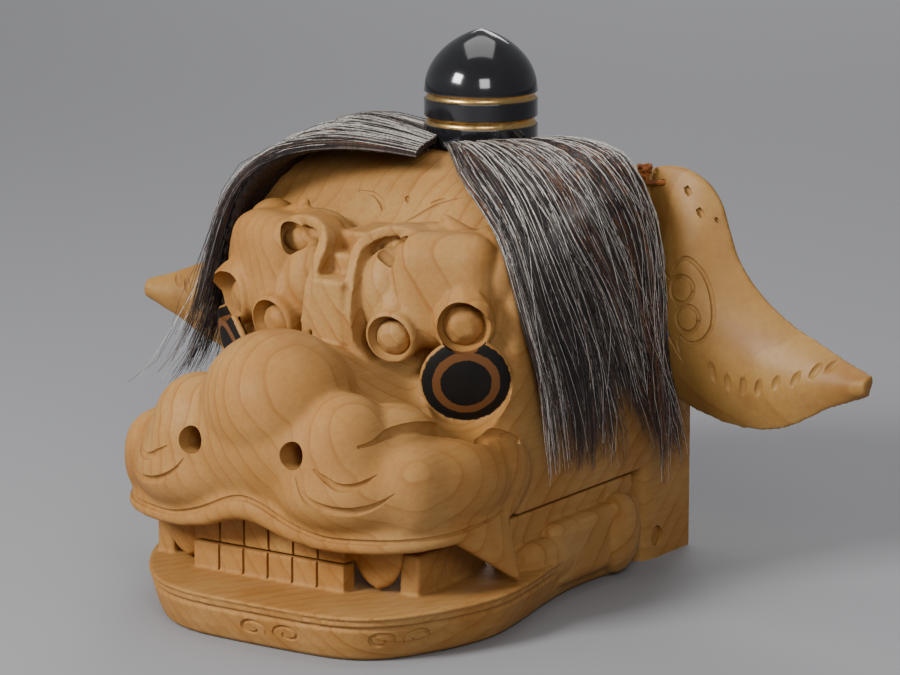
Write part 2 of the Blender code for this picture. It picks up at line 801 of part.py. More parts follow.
def make_ear(side, name):
    """A leaf carved from one board, bulging forward, with its tip swept forward and out."""
    root_x = drawn_half_width + seat_gap / unit().x
    outer = smooth_path([(x, 0, z) for x, z in ear_outer], 14)
    inner = smooth_path([(root_x + x, 0, z) for x, z in ear_inner], 14)
    rows, columns = 14, 7
    form = bmesh.new()
    faces = {}
    for i in range(rows):
        share = i / (rows - 1)
        a = inner[round(share * (len(inner) - 1))]
        b = outer[round(share * (len(outer) - 1))]
        camber = blend_of(ear_camber, share)
        sweep = blend_of(ear_sweep, share)
        for j in range(columns):
            u = j / (columns - 1)
            point = a.lerp(b, u)
            bulge = camber * 4 * u * (1 - u)
            thick = ear_thickness / unit().y * (1 - 0.6 * (2 * u - 1) ** 4) * (1 - 0.45 * share)
            for k, back in enumerate((0.5, -0.5)):
                spot = at(side * point.x, ear_root[0] + sweep + bulge + back * thick, point.z)
                faces[i, j, k] = form.verts.new(spot)
    for i in range(rows - 1):
        for j in range(columns - 1):
            form.faces.new([faces[i + p, j + q, 0] for p, q in ((0, 0), (1, 0), (1, 1), (0, 1))])
            form.faces.new([faces[i + p, j + q, 1] for p, q in ((0, 0), (0, 1), (1, 1), (1, 0))])
        for j in (0, columns - 1):
            form.faces.new((faces[i, j, 0], faces[i + 1, j, 0], faces[i + 1, j, 1], faces[i, j, 1]))
    for j in range(columns - 1):
        for i in (0, rows - 1):
            form.faces.new((faces[i, j, 0], faces[i, j + 1, 0], faces[i, j + 1, 1], faces[i, j, 1]))
    ear = show(name, mesh_from(form, name))
    cut(ear, tie_torus("tunnel", side, tie_clearance))
    return ear


def make_mane(name, locks, blockers):
    """A fall of hair: locks laid side by side over the crown and the cheek, cut to fit what they cover."""
    clay = Clay()
    for points, radii in locks:
        clay.ribbon(points, radii, flat=1.35)
    mane = fuse(clay.thing(name), clay_voxel, 4)
    cut(mane, swollen(blockers, hair_gap))
    largest_body(mane)
    fuse(mane, clay_voxel, 1)
    thin(mane, mane_faces)
    return mane


def left_locks():
    """The fall on the lion's left, from the parting in front of the finial to the side of the head."""
    locks = []
    count = 8
    for i in range(count):
        s = i / (count - 1)
        locks.append((
            [(20 + 58 * s, 74 - 66 * s, 258), (68 + 26 * s, 96 - 90 * s, 261),
             (103 + 7 * s, 112 - 108 * s, 247), (112 + 3 * s, 122 - 123 * s, 205),
             (115, 122 - 125 * s, 155), (113, 113 - 126 * s, 118),
             (112, 104 - 146 * s, 90), (111, 97 - 157 * s, 75 + 9 * math.sin(9 * s))],
            [(1.0 + 0.16 * (-1) ** i) * r for r in (6, 8, 9, 8.5, 8.5, 8.5, 7.5, 3.5)],
        ))
    return locks


def right_locks():
    """The fall on the lion's right, which sweeps over the forehead and flares forward at its end."""
    locks = []
    count = 8
    for i in range(count):
        s = i / (count - 1)
        locks.append((
            [(3 - 26 * s, 78 - 74 * s, 257), (-40 - 20 * s, 97 - 92 * s, 262),
             (-84 - 14 * s, 112 - 112 * s, 250), (-106 - 4 * s, 120 - 124 * s, 214),
             (-114, 132 - 142 * s, 170), (-122 + 8 * s, 146 - 160 * s, 130),
             (-130 + 18 * s, 154 - 172 * s, 92 - 10 * math.sin(7 * s))],
            [(1.0 + 0.16 * (-1) ** i) * r for r in (6, 8, 9, 9, 9, 8, 3.5)],
        ))
    return locks


finishes = {
    "head": ("honey_wood", (0.55, 0.33, 0.13, 1), 0.5, 0.0),
    "lower_jaw": ("honey_wood", (0.55, 0.33, 0.13, 1), 0.5, 0.0),
    "jaw_axle": ("honey_wood", (0.55, 0.33, 0.13, 1), 0.5, 0.0),
    "ear_left": ("polished_wood", (0.5, 0.27, 0.07, 1), 0.35, 0.0),
    "ear_right": ("polished_wood", (0.5, 0.27, 0.07, 1), 0.35, 0.0),
    "finial": ("black_lacquer", (0.01, 0.01, 0.012, 1), 0.12, 0.0),
    "mane_left": ("horsehair", (0.06, 0.05, 0.055, 1), 0.55, 0.0),
    "mane_right": ("horsehair", (0.06, 0.05, 0.055, 1), 0.55, 0.0),
    "ear_tie_left": ("orange_cord", (0.6, 0.22, 0.03, 1), 0.8, 0.0),
    "ear_tie_right": ("orange_cord", (0.6, 0.22, 0.03, 1), 0.8, 0.0),
}


def finish(things):
    for thing in things:
        name, colour, roughness, metallic = finishes[thing.name]
        material = bpy.data.materials.get(name) or bpy.data.materials.new(name)
        material.use_nodes = True
        shader = material.node_tree.nodes["Principled BSDF"]
        shader.inputs["Base Color"].default_value = colour
        shader.inputs["Roughness"].default_value = roughness
        shader.inputs["Metallic"].default_value = metallic
        thing.data.materials.clear()
        thing.data.materials.append(material)
        thing.data.shade_smooth()
        thing.data.set_sharp_from_angle(angle=math.radians(40))


def centre(things):
    """Puts the origin under the middle of the whole mask's box."""
    points = [v.co for thing in things for v in thing.data.vertices]
    middle = Vector([(min(p[k] for p in points) + max(p[k] for p in points)) / 2 for k in range(2)] + [0.0])
    for thing in things:
        thing.data.transform(Matrix.Translation(-middle))
    return -middle


def build():
    clear_scene()
    head = make_head()
    jaw = make_jaw()
    ears = [make_ear(1, "ear_left"), make_ear(-1, "ear_right")]
    ties = [tie_torus("ear_tie_left", 1), tie_torus("ear_tie_right", -1)]
    finial = make_finial()
    manes = [
        make_mane("mane_left", left_locks(), [head, finial, ears[0], ties[0]]),
        make_mane("mane_right", right_locks(), [head, finial, ears[1], ties[1]]),
    ]
    things = [head, jaw, make_axle(), finial, *ears, *ties, *manes]
    finish(things)
    return centre(things)


shift = build()
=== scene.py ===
# The looks of the carved lion dance mask: fine carving, wood, lacquer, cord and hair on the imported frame.
# Places are drawn in millimetres: x sideways, f forward of the finial's axis, z up from the ground.

import json
import math
import random

import bmesh
import bpy
from mathutils import Matrix, Vector
from mathutils.bvhtree import BVHTree

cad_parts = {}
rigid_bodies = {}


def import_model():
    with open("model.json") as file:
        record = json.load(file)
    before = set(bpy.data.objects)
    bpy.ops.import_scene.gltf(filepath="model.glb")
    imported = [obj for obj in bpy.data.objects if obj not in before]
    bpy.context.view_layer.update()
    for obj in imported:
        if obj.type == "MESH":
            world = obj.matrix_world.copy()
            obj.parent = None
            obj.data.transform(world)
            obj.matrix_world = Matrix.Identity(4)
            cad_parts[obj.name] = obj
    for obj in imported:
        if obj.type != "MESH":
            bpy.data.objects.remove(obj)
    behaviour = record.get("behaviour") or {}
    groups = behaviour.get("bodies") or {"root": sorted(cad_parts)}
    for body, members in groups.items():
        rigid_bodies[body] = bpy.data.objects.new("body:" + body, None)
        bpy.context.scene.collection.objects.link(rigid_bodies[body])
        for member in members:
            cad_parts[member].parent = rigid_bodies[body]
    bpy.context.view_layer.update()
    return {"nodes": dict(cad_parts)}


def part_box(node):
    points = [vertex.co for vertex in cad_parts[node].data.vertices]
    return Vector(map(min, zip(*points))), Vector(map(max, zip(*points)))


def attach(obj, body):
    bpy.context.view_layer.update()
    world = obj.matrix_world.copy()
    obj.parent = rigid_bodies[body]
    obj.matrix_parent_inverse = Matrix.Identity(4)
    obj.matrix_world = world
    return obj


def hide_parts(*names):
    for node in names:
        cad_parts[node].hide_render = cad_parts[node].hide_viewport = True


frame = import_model()
finialLow, finialHigh = [Vector(corner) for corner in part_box("finial")]
finialAxis = (finialLow + finialHigh) / 2
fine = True
print("frame loaded")


def drawn(x, f, z):
    return Vector((x / 1000, finialAxis.y - f / 1000, z / 1000))


def undrawn(place):
    return Vector((place.x * 1000, (finialAxis.y - place.y) * 1000, place.z * 1000))


# Small tools of the bench

def putIn(name, mesh):
    thing = bpy.data.objects.new(name, mesh)
    bpy.context.scene.collection.objects.link(thing)
    return thing


def makeThing(name, form):
    bmesh.ops.recalc_face_normals(form, faces=form.faces)
    mesh = bpy.data.meshes.new(name)
    form.to_mesh(mesh)
    form.free()
    return putIn(name, mesh)


def settle(thing):
    # the mesh as its modifiers leave it
    bpy.context.view_layer.update()
    graph = bpy.context.evaluated_depsgraph_get()
    mesh = bpy.data.meshes.new_from_object(thing.evaluated_get(graph))
    thing.modifiers.clear()
    thing.data = mesh
    return thing


def discard(thing):
    bpy.data.objects.remove(thing)


def takeUp(thing):
    # the object's mesh as a bmesh to go on with
    form = bmesh.new()
    form.from_mesh(thing.data)
    discard(thing)
    return form


def triangles(thing):
    return sum(len(face.vertices) - 2 for face in thing.data.polygons)


def fuse(thing, voxel, rounds=0):
    remesh = thing.modifiers.new("fuse", "REMESH")
    remesh.mode = "VOXEL"
    remesh.voxel_size = voxel / 1000
    if rounds:
        soften = thing.modifiers.new("soften", "SMOOTH")
        soften.iterations = rounds
    return settle(thing)


def combine(thing, other, way):
    change = thing.modifiers.new(way, "BOOLEAN")
    change.operation = way
    change.solver = "MANIFOLD"
    change.object = other
    settle(thing)
    discard(other)
    return thing


def cutAway(thing, other):
    return combine(thing, other, "DIFFERENCE")


def thinOut(thing, count):
    now = triangles(thing)
    if now > count:
        less = thing.modifiers.new("less", "DECIMATE")
        less.ratio = count / now
        settle(thing)
    return thing


def between(values, share):
    # the value at this share of the way along the list
    if not isinstance(values, (list, tuple)):
        return values
    spot = max(0.0, min(1.0, share)) * (len(values) - 1)
    i = min(int(spot), len(values) - 2)
    return values[i] + (values[i + 1] - values[i]) * (spot - i)


def eased(a, b, c, d, t):
    # the place at share t between b and c on the smooth curve through all four
    return 0.5 * (2 * b + (c - a) * t + (2 * a - 5 * b + 4 * c - d) * t * t + (3 * b - a - 3 * c + d) * t ** 3)


def curveAt(points, share):
    # a smooth curve through the points, read by the share of the way along
    spot = max(0.0, min(1.0, share)) * (len(points) - 1)
    i = min(int(spot), len(points) - 2)
    b, c = points[i], points[i + 1]
    a = points[i - 1] if i > 0 else b * 2 - c
    d = points[i + 2] if i + 2 < len(points) else c * 2 - b
    return eased(a, b, c, d, spot - i)


def smoothPath(points, step=2.0):
    points = [Vector(p) for p in points]
    ends = [points[0] * 2 - points[1], *points, points[-1] * 2 - points[-2]]
    found = []
    for a, b, c, d in zip(ends, ends[1:], ends[2:], ends[3:]):
        count = max(2, round((c - b).length / step))
        found += [eased(a, b, c, d, i / count) for i in range(count)]
    found.append(points[-1])
    return found


def mirrored(half):
    # the whole of a line from one side to the other, from its half that starts at the middle
    return [(-x, f, z) for x, f, z in reversed(half)] + half[1:]


def facing(turn, lean=0.0):
    turn, lean = math.radians(turn), math.radians(lean)
    return Vector((math.sin(turn) * math.cos(lean), math.cos(turn) * math.cos(lean), math.sin(lean)))


# Lumps of clay, which fuse into one skin

def pattern(make):
    form = bmesh.new()
    make(form)
    mesh = bpy.data.meshes.new("pattern")
    form.to_mesh(mesh)
    form.free()
    return mesh


ballPattern = pattern(lambda form: bmesh.ops.create_icosphere(form, subdivisions=4, radius=1.0))
beadPattern = pattern(lambda form: bmesh.ops.create_icosphere(form, subdivisions=2, radius=1.0))


def stamp(clay, mesh, centre, radii, turn=0.0, lean=0.0, roll=0.0):
    placed = mesh.copy()
    placed.transform(
        Matrix.Translation(drawn(*centre))
        @ Matrix.Rotation(math.radians(turn), 4, "Z")
        @ Matrix.Rotation(math.radians(lean), 4, "X")
        @ Matrix.Rotation(math.radians(roll), 4, "Y")
        @ Matrix.Diagonal((radii[0] / 1000, radii[1] / 1000, radii[2] / 1000, 1.0))
    )
    clay.from_mesh(placed)
    bpy.data.meshes.remove(placed)


def stampBoth(clay, mesh, centre, radii, turn=0.0, lean=0.0, roll=0.0):
    for side in (1, -1):
        stamp(clay, mesh, (side * centre[0], centre[1], centre[2]), radii, side * turn, lean, side * roll)


def roundedBlock(half, roundBy):
    # roundBy is a share of the least half side
    least = min(half)

    def make(form):
        bmesh.ops.create_cube(form, size=2.0)
        bmesh.ops.scale(form, vec=[h / least for h in half], verts=form.verts)
        if roundBy:
            bmesh.ops.bevel(form, geom=form.edges[:], offset=roundBy, affect="EDGES", segments=6,
                            profile=0.5, material=-1)
        bmesh.ops.scale(form, vec=[least / h for h in half], verts=form.verts)

    return pattern(make)


def block(clay, centre, half, roundBy=0.0, turn=0.0, lean=0.0, roll=0.0, both=False):
    put = stampBoth if both else stamp
    put(clay, roundedBlock(half, roundBy), centre, half, turn, lean, roll)


def bossPattern(form):
    # a short round boss with a softened front, facing forward
    bmesh.ops.create_cone(form, cap_ends=True, segments=56, radius1=1.0, radius2=1.0, depth=2.0,
                          matrix=Matrix.Rotation(math.radians(90), 4, "X"))
    rims = [e for e in form.edges if abs(e.verts[0].co.y - e.verts[1].co.y) < 0.1]
    bmesh.ops.bevel(form, geom=rims, offset=0.16, affect="EDGES", segments=4, profile=0.5, material=-1)


def knobForm(form):
    # a low knob dressed with a few chisel cuts, its top a little flattened
    bmesh.ops.create_icosphere(form, subdivisions=2, radius=1.0)
    turns = ((0, 4, 0, 0.86), (50, 12, 38, 0.90), (118, -8, 38, 0.90), (176, 16, 38, 0.92), (232, 2, 38, 0.88),
             (300, 10, 38, 0.91))
    for turn, lean, tilt, reach in turns:
        turn, lean, tilt = math.radians(turn), math.radians(lean), math.radians(tilt)
        way = Vector((math.sin(tilt) * math.cos(turn), -math.cos(tilt), math.sin(tilt) * math.sin(turn + lean)))
        bmesh.ops.bisect_plane(form, geom=form.verts[:] + form.edges[:] + form.faces[:], plane_co=way * reach,
                               plane_no=way, clear_outer=True)
        bmesh.ops.holes_fill(form, edges=[e for e in form.edges if e.is_boundary])


roundBoss = pattern(bossPattern)
knobPattern = pattern(knobForm)
bandPattern = pattern(lambda form: bmesh.ops.create_cube(form, size=2.0))


def extrudeOutline(clay, outline, way):
    verts = [clay.verts.new(drawn(*point)) for point in outline]
    face = clay.faces.new(verts)
    made = bmesh.ops.extrude_face_region(clay, geom=[face])["geom"]
    bmesh.ops.translate(clay, verts=[g for g in made if isinstance(g, bmesh.types.BMVert)],
                        vec=drawn(*way) - drawn(0, 0, 0))


def roll(clay, points, radii, flat=1.0, both=False):
    # a tapering roll through the points, made of overlapping beads
    for side in (1, -1) if both else (1,):
        path = smoothPath([(side * p[0], p[1], p[2]) for p in points])
        for i, point in enumerate(path):
            radius = between(radii, i / (len(path) - 1))
            stamp(clay, beadPattern, point, (radius, radius * flat, radius))


def band(clay, points, widths, depth, both=False):
    # a flat raised band with square edges, lying across the face
    for side in (1, -1) if both else (1,):
        path = smoothPath([(side * p[0], p[1], p[2]) for p in points], 1.5)
        for i, point in enumerate(path):
            before, after = path[max(i - 1, 0)], path[min(i + 1, len(path) - 1)]
            angle = math.degrees(math.atan2(after.x - before.x, after.z - before.z))
            width = between(widths, i / (len(path) - 1))
            stamp(clay, bandPattern, point, (width / 2, depth / 2, 1.4), roll=angle)


def spike(clay, root, tip, rootRadii, tipRadius, steps=20):
    root, tip = Vector(root), Vector(tip)
    for i in range(steps):
        share = i / (steps - 1)
        stamp(clay, beadPattern, root.lerp(tip, share), [r + (tipRadius - r) * share for r in rootRadii])


def skinOf(thing):
    form = bmesh.new()
    form.from_mesh(thing.data)
    tree = BVHTree.FromBMesh(form)
    form.free()
    return tree


def layBar(form, path, radii, roundness=3, closed=False):
    # a tapering round bar along the path, in drawing millimetres
    curve = bpy.data.curves.new("bar", "CURVE")
    curve.dimensions = "3D"
    curve.bevel_depth = 0.001
    curve.bevel_resolution = roundness
    curve.use_fill_caps = not closed
    line = curve.splines.new("POLY")
    line.points.add(len(path) - 1)
    for i, (spot, point) in enumerate(zip(line.points, path)):
        spot.co = (*drawn(*point), 1.0)
        spot.radius = between(radii, i / (len(path) - 1))
    line.use_cyclic_u = closed
    takeCurve(form, putIn("bar", curve))


def takeCurve(form, thing):
    bpy.context.view_layer.update()
    form.from_mesh(bpy.data.meshes.new_from_object(thing.evaluated_get(bpy.context.evaluated_depsgraph_get())))
    discard(thing)


def gougeTool(name, path, radii, roundness=3):
    form = bmesh.new()
    layBar(form, path, radii, roundness)
    bmesh.ops.remove_doubles(form, verts=form.verts, dist=1e-6)
    return makeThing(name, form)


def laidOn(skin, points, sink=0.0, step=3.0):
    found = []
    for point in smoothPath(points, step):
        place, normal, _, _ = skin.find_nearest(drawn(*point))
        found.append(undrawn(place - normal * sink / 1000))
    return found


def gouge(thing, skin, points, radii, both=False, sink=0.0, step=3.0):
    for side in (1, -1) if both else (1,):
        path = laidOn(skin, [(side * p[0], p[1], p[2]) for p in points], sink, step)
        cutAway(thing, gougeTool("gouge", path, radii))


def sliceOff(thing, centre, half):
    # cuts off all that lies inside the box
    form = bmesh.new()
    block(form, centre, half)
    cutAway(thing, makeThing("slice", form))


def paintedShadeMap(thing):
    # how deep in a hollow each corner of the mesh lies, kept as the attribute that the wood reads to paint shade into
    # the hollows and paler wood onto the ridges
    for other in bpy.context.view_layer.objects:
        other.select_set(False)
    thing.data.color_attributes.new("hollow", "BYTE_COLOR", "CORNER")
    bpy.context.view_layer.objects.active = thing
    thing.select_set(True)
    bpy.ops.object.mode_set(mode="VERTEX_PAINT")
    bpy.ops.paint.vertex_color_dirt(blur_strength=1.0, blur_iterations=2, clean_angle=math.pi,
                                    dirt_angle=math.radians(60), dirt_only=False, normalize=False)
    bpy.ops.object.mode_set(mode="OBJECT")
    thing.select_set(False)


def finishWith(thing, material, angle=40):
    thing.data.materials.clear()
    thing.data.materials.append(material)
    thing.data.polygons.foreach_set("material_index", [0] * len(thing.data.polygons))
    thing.data.shade_smooth()
    thing.data.set_sharp_from_angle(angle=math.radians(angle))


# Node tools

def newMaterial(name):
    material = bpy.data.materials.new(name)
    material.use_nodes = True
    material.node_tree.nodes.clear()
    shader = addNode(material, "ShaderNodeBsdfPrincipled")
    out = addNode(material, "ShaderNodeOutputMaterial")
    link(material, shader.outputs["BSDF"], out.inputs["Surface"])
    return material, shader


def addNode(material, kind, **settings):
    node = material.node_tree.nodes.new(kind)
    for key, value in settings.items():
        setattr(node, key, value)
    return node


def link(material, source, target):
    material.node_tree.links.new(source, target)


def objectPlaces(material, scale=(1, 1, 1), turn=(0, 0, 0)):
    places = addNode(material, "ShaderNodeTexCoord")
    mapping = addNode(material, "ShaderNodeMapping")
    mapping.inputs["Scale"].default_value = scale
    mapping.inputs["Rotation"].default_value = [math.radians(a) for a in turn]
    link(material, places.outputs["Object"], mapping.inputs["Vector"])
    return mapping.outputs["Vector"]


def noiseOf(material, vector, scale, detail=3.0, rough=0.5, bend=0.0):
    texture = addNode(material, "ShaderNodeTexNoise")
    texture.inputs["Scale"].default_value = scale
    texture.inputs["Detail"].default_value = detail
    texture.inputs["Roughness"].default_value = rough
    texture.inputs["Distortion"].default_value = bend
    link(material, vector, texture.inputs["Vector"])
    return texture.outputs["Fac"]


def ramp(material, factor, stops):
    node = addNode(material, "ShaderNodeValToRGB")
    node.color_ramp.elements.remove(node.color_ramp.elements[1])
    for i, (place, colour) in enumerate(stops):
        element = node.color_ramp.elements[0] if i == 0 else node.color_ramp.elements.new(place)
        element.position = place
        element.color = (*colour, 1) if len(colour) == 3 else colour
    link(material, factor, node.inputs["Fac"])
    return node.outputs["Color"]


def level(value):
    return (value, value, value)


def greys(material, factor, *stops):
    return ramp(material, factor, [(place, level(value)) for place, value in stops])


def mixed(material, factor, a, b, kind="MIX"):
    node = addNode(material, "ShaderNodeMix", data_type="RGBA", blend_type=kind)
    for socket, value in ((node.inputs["Factor"], factor), (node.inputs["A"], a), (node.inputs["B"], b)):
        if isinstance(value, bpy.types.NodeSocket):
            link(material, value, socket)
        elif isinstance(value, (tuple, list)):
            socket.default_value = (*value, 1)
        else:
            socket.default_value = value
    return node.outputs["Result"]


def math2(material, kind, a, b=None, clamp=False):
    node = addNode(material, "ShaderNodeMath", operation=kind, use_clamp=clamp)
    for socket, value in zip(node.inputs, (a, b)):
        if isinstance(value, bpy.types.NodeSocket):
            link(material, value, socket)
        elif value is not None:
            socket.default_value = value
    return node.outputs["Value"]


def vector2(material, kind, a, b=None):
    node = addNode(material, "ShaderNodeVectorMath", operation=kind)
    for socket, value in zip(node.inputs, (a, b)):
        if isinstance(value, bpy.types.NodeSocket):
            link(material, value, socket)
        elif value is not None:
            socket.default_value = value
    return node


def bump(material, shader, heights):
    # heights is a list of (factor, strength, distance in metres)
    normal = None
    for factor, strength, distance in heights:
        node = addNode(material, "ShaderNodeBump")
        node.inputs["Strength"].default_value = strength
        node.inputs["Distance"].default_value = distance
        link(material, factor, node.inputs["Height"])
        if normal:
            link(material, normal, node.inputs["Normal"])
        normal = node.outputs["Normal"]
    link(material, normal, shader.inputs["Normal"])


# Wood

woodLook = {
    "pale": (0.90, 0.62, 0.24),
    "tan": (0.71, 0.40, 0.115),
    "ring": (0.36, 0.15, 0.03),
    "stain": (0.50, 0.21, 0.035),
    # the deep colour is painted shade, laid into the hollows
    "deep": (0.22, 0.08, 0.016),
    "ringTurn": (0, 34, 29),     # which way the growth rings lie in the block
    "ringScale": 38.0,
    "ringBend": 3.4,
    "fibreScale": 420.0,
    "roughness": 0.56,
    "shine": 0.2,
}

eyeLook = {
    "centre": (87, 146, 140),
    "turn": 36.0,
    "lean": -16.0,
    "pupil": 14.7,
    "ring": 19.6,
    "outer": 25.6,
    "bulge": 6.0,
    "black": (0.0055, 0.0045, 0.004),
    "worn": (0.014, 0.012, 0.010),
    "brown": (0.15, 0.060, 0.020),
    "wobble": 0.0009,       # how far the paint's edges wander, in metres
    "soft": 0.012,
}


def woodMaterial(name, look, hollows=True, eyes=None):
    material, shader = newMaterial(name)
    places = objectPlaces(material, turn=look["ringTurn"])
    # the growth rings: thin dark lines that wander through the block
    drift = addNode(material, "ShaderNodeTexNoise")
    drift.inputs["Scale"].default_value = 6.0
    link(material, places, drift.inputs["Vector"])
    shift = addNode(material, "ShaderNodeMix", data_type="VECTOR")
    shift.inputs["Factor"].default_value = 0.035
    link(material, places, shift.inputs["A"])
    link(material, drift.outputs["Color"], shift.inputs["B"])
    rings = addNode(material, "ShaderNodeTexWave", wave_type="BANDS", bands_direction="X", wave_profile="SAW")
    rings.inputs["Scale"].default_value = look["ringScale"]
    rings.inputs["Distortion"].default_value = look["ringBend"]
    rings.inputs["Detail"].default_value = 2.0
    rings.inputs["Detail Scale"].default_value = 0.6
    link(material, shift.outputs["Result"], rings.inputs["Vector"])
    lines = greys(material, rings.outputs["Fac"], (0.0, 0.1), (0.05, 0.0), (0.5, 0.06), (0.84, 0.40),
                  (0.93, 1.0), (1.0, 0.9))
    uneven = greys(material, noiseOf(material, places, 22.0, 3.0), (0.32, 0.25), (0.62, 1.0))
    lines = math2(material, "MULTIPLY", lines, uneven)
    grain = objectPlaces(material, (1.0, 0.07, 1.0), look["ringTurn"])
    fibres = noiseOf(material, grain, look["fibreScale"], 3.0, 0.6)
    clouds = noiseOf(material, places, 11.0, 4.0, 0.55)
    colour = mixed(material, greys(material, clouds, (0.36, 0.0), (0.66, 1.0)), look["pale"], look["tan"])
    stains = noiseOf(material, objectPlaces(material, turn=(0, 20, 70)), 16.0, 5.0, 0.6, 0.6)
    colour = mixed(material, greys(material, stains, (0.52, 0.0), (0.74, 0.75)), colour, look["stain"])
    colour = mixed(material, math2(material, "MULTIPLY", lines, 0.7), colour, look["ring"])
    colour = mixed(material, greys(material, fibres, (0.3, 0.30), (0.6, 0.0)), colour, look["ring"])
    # painted shade: the wood darkens towards its deep colour in the hollows, and is drawn paler on the ridges
    if hollows:
        deep = addNode(material, "ShaderNodeVertexColor", layer_name="hollow").outputs["Color"]
        depth = greys(material, deep, (0.0, 1.0), (0.36, 0.9), (0.485, 0.3), (0.55, 0.0))
        colour = mixed(material, math2(material, "MULTIPLY", depth, 0.8), colour, look["deep"])
        colour = mixed(material, greys(material, deep, (0.56, 0.0), (0.75, 0.35)), colour, look["pale"])
    low, high = look["roughness"] - 0.05, look["roughness"] + 0.08
    rough = greys(material, clouds, (0.3, low), (0.7, high))
    if eyes:
        colour, rough = paintEyes(material, colour, rough, eyes)
    link(material, colour, shader.inputs["Base Color"])
    link(material, rough, shader.inputs["Roughness"])
    pores = noiseOf(material, places, 900.0, 2.0, 0.7)
    bump(material, shader, [(fibres, 0.12, 0.0004), (lines, 0.10, 0.0003), (pores, 0.10, 0.0003)])
    shader.inputs["IOR"].default_value = 1.45
    shader.inputs["Specular IOR Level"].default_value = look["shine"]
    return material


def paintEyes(material, colour, rough, look):
    # black paint, a brown ring left between it and the black pupil, on both sides alike
    places = addNode(material, "ShaderNodeTexCoord").outputs["Object"]
    split = addNode(material, "ShaderNodeSeparateXYZ")
    link(material, places, split.inputs["Vector"])
    fold = addNode(material, "ShaderNodeCombineXYZ")
    link(material, math2(material, "ABSOLUTE", split.outputs["X"]), fold.inputs["X"])
    link(material, split.outputs["Y"], fold.inputs["Y"])
    link(material, split.outputs["Z"], fold.inputs["Z"])
    way = facing(look["turn"], look["lean"])
    way.y = -way.y
    off = vector2(material, "SUBTRACT", fold.outputs["Vector"], drawn(*look["centre"])).outputs["Vector"]
    across = vector2(material, "CROSS_PRODUCT", off, way).outputs["Vector"]
    wobble = math2(material, "MULTIPLY", noiseOf(material, places, 260.0, 3.0), 2 * look["wobble"])
    wobble = math2(material, "SUBTRACT", wobble, look["wobble"])
    radius = math2(material, "ADD", vector2(material, "LENGTH", across).outputs["Value"], wobble)
    share = math2(material, "DIVIDE", radius, 0.03)
    # only what lies near the dome takes paint
    along = vector2(material, "DOT_PRODUCT", off, way).outputs["Value"]
    near = math2(material, "MULTIPLY", math2(material, "GREATER_THAN", along, -0.011),
                 math2(material, "LESS_THAN", along, 0.0015))
    pupil, inner, outer, soft = look["pupil"] / 30, look["ring"] / 30, look["outer"] / 30, look["soft"]
    paint = greys(material, share, (0.0, 1.0), (pupil, 1.0), (pupil + soft, 0.0), (inner, 0.0),
                  (inner + soft, 1.0), (outer, 1.0), (outer + soft, 0.0))
    ring = greys(material, share, (0.0, 1.0), (inner + soft, 1.0), (inner + 2 * soft, 0.0))
    colour = mixed(material, math2(material, "MULTIPLY", ring, near), colour, look["brown"])
    black = mixed(material, noiseOf(material, places, 60.0, 4.0), look["black"], look["worn"])
    painted = math2(material, "MULTIPLY", paint, near)
    return mixed(material, painted, colour, black), mixed(material, painted, rough, level(0.7))


# Head

headLook = {
    "voxel": 1.3 if fine else 2.6,
    "roughVoxel": 3.0,
    "faces": 180000,
    "halfWidth": 107.0,
    "crown": 254.0,
    "fall": ((-90, 234), (-36, 244), (12, 255)),    # the crown's fall towards the back, as (f, z)
    "wall": 15.0,
    "rear": 75.0,
    "toothPitch": 17.6,
    "nostril": 8.2,
    "axleF": (finialAxis.y - sum(corner[1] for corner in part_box("jaw_axle")) / 2) * 1000,
    "axleZ": sum(corner[2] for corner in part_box("jaw_axle")) / 2 * 1000,
    "axleRadius": 6.5,
}

# The hollows in the brows, each with a knob: centre of the rim, outward turn, lean, radius, knob's share of it.
browHollows = [
    ((43, 161, 165), 8, -10, 14.0, 0.80),
    ((84, 144, 174), 33, -6, 15.8, 0.80),
]


def blockOut():
    # the skull and the muzzle, sawn from the block and rounded over
    clay = bmesh.new()
    side = ((-90, -12), *headLook["fall"], (46, 255), (72, 241), (96, 218), (122, 205), (126, 60), (-20, 60),
            (-20, -12))
    extrudeOutline(clay, [(-headLook["halfWidth"], f, z) for f, z in side], (2 * headLook["halfWidth"], 0, 0))
    tops = [e for e in clay.edges if all(v.co.z > 0.200 for v in e.verts)
            and abs(e.verts[0].co.x - e.verts[1].co.x) < 1e-5]
    bmesh.ops.bevel(clay, geom=tops, offset=0.011, affect="EDGES", segments=5, profile=0.5, material=-1)
    block(clay, (0, 0, 247), (40, 40, 9), 0.8)      # the crown stays level only under the finial
    block(clay, (0, 168, 88), (112, 62, 29), 0.8)
    stampBoth(clay, ballPattern, (54, 199, 87), (50, 56, 31), turn=-22)
    stampBoth(clay, ballPattern, (84, 179, 87), (36, 60, 31), turn=-10)
    slope = ((-104, 70), (-98, 106), (-62, 125), (-24, 151), (24, 151), (62, 125), (98, 106), (104, 70))
    extrudeOutline(clay, [(x, 100, z) for x, z in slope], (0, 98, 0))
    stamp(clay, ballPattern, (0, 213, 108), (70, 39, 44))
    stampBoth(clay, ballPattern, (48, 214, 106), (36, 36, 34))
    stampBoth(clay, ballPattern, (74, 122, 132), (31, 29, 34))
    return fuse(makeThing("block", clay), headLook["roughVoxel"], 26)


def faceMasses(clay):
    stamp(clay, ballPattern, (0, 210, 130), (47, 45, 44))           # nose
    stamp(clay, ballPattern, (0, 178, 130), (36, 46, 30))
    stampBoth(clay, ballPattern, (52, 217, 113), (28, 29, 31), turn=-20)      # wings of the nose
    stampBoth(clay, ballPattern, (66, 196, 114), (25, 34, 22), turn=-30)
    stampBoth(clay, ballPattern, (80, 128, 134), (26, 20, 26))      # the eyes' ground
    stampBoth(clay, ballPattern, (99, 142, 86), (16, 36, 27), turn=-6)        # the cheek's rounded end


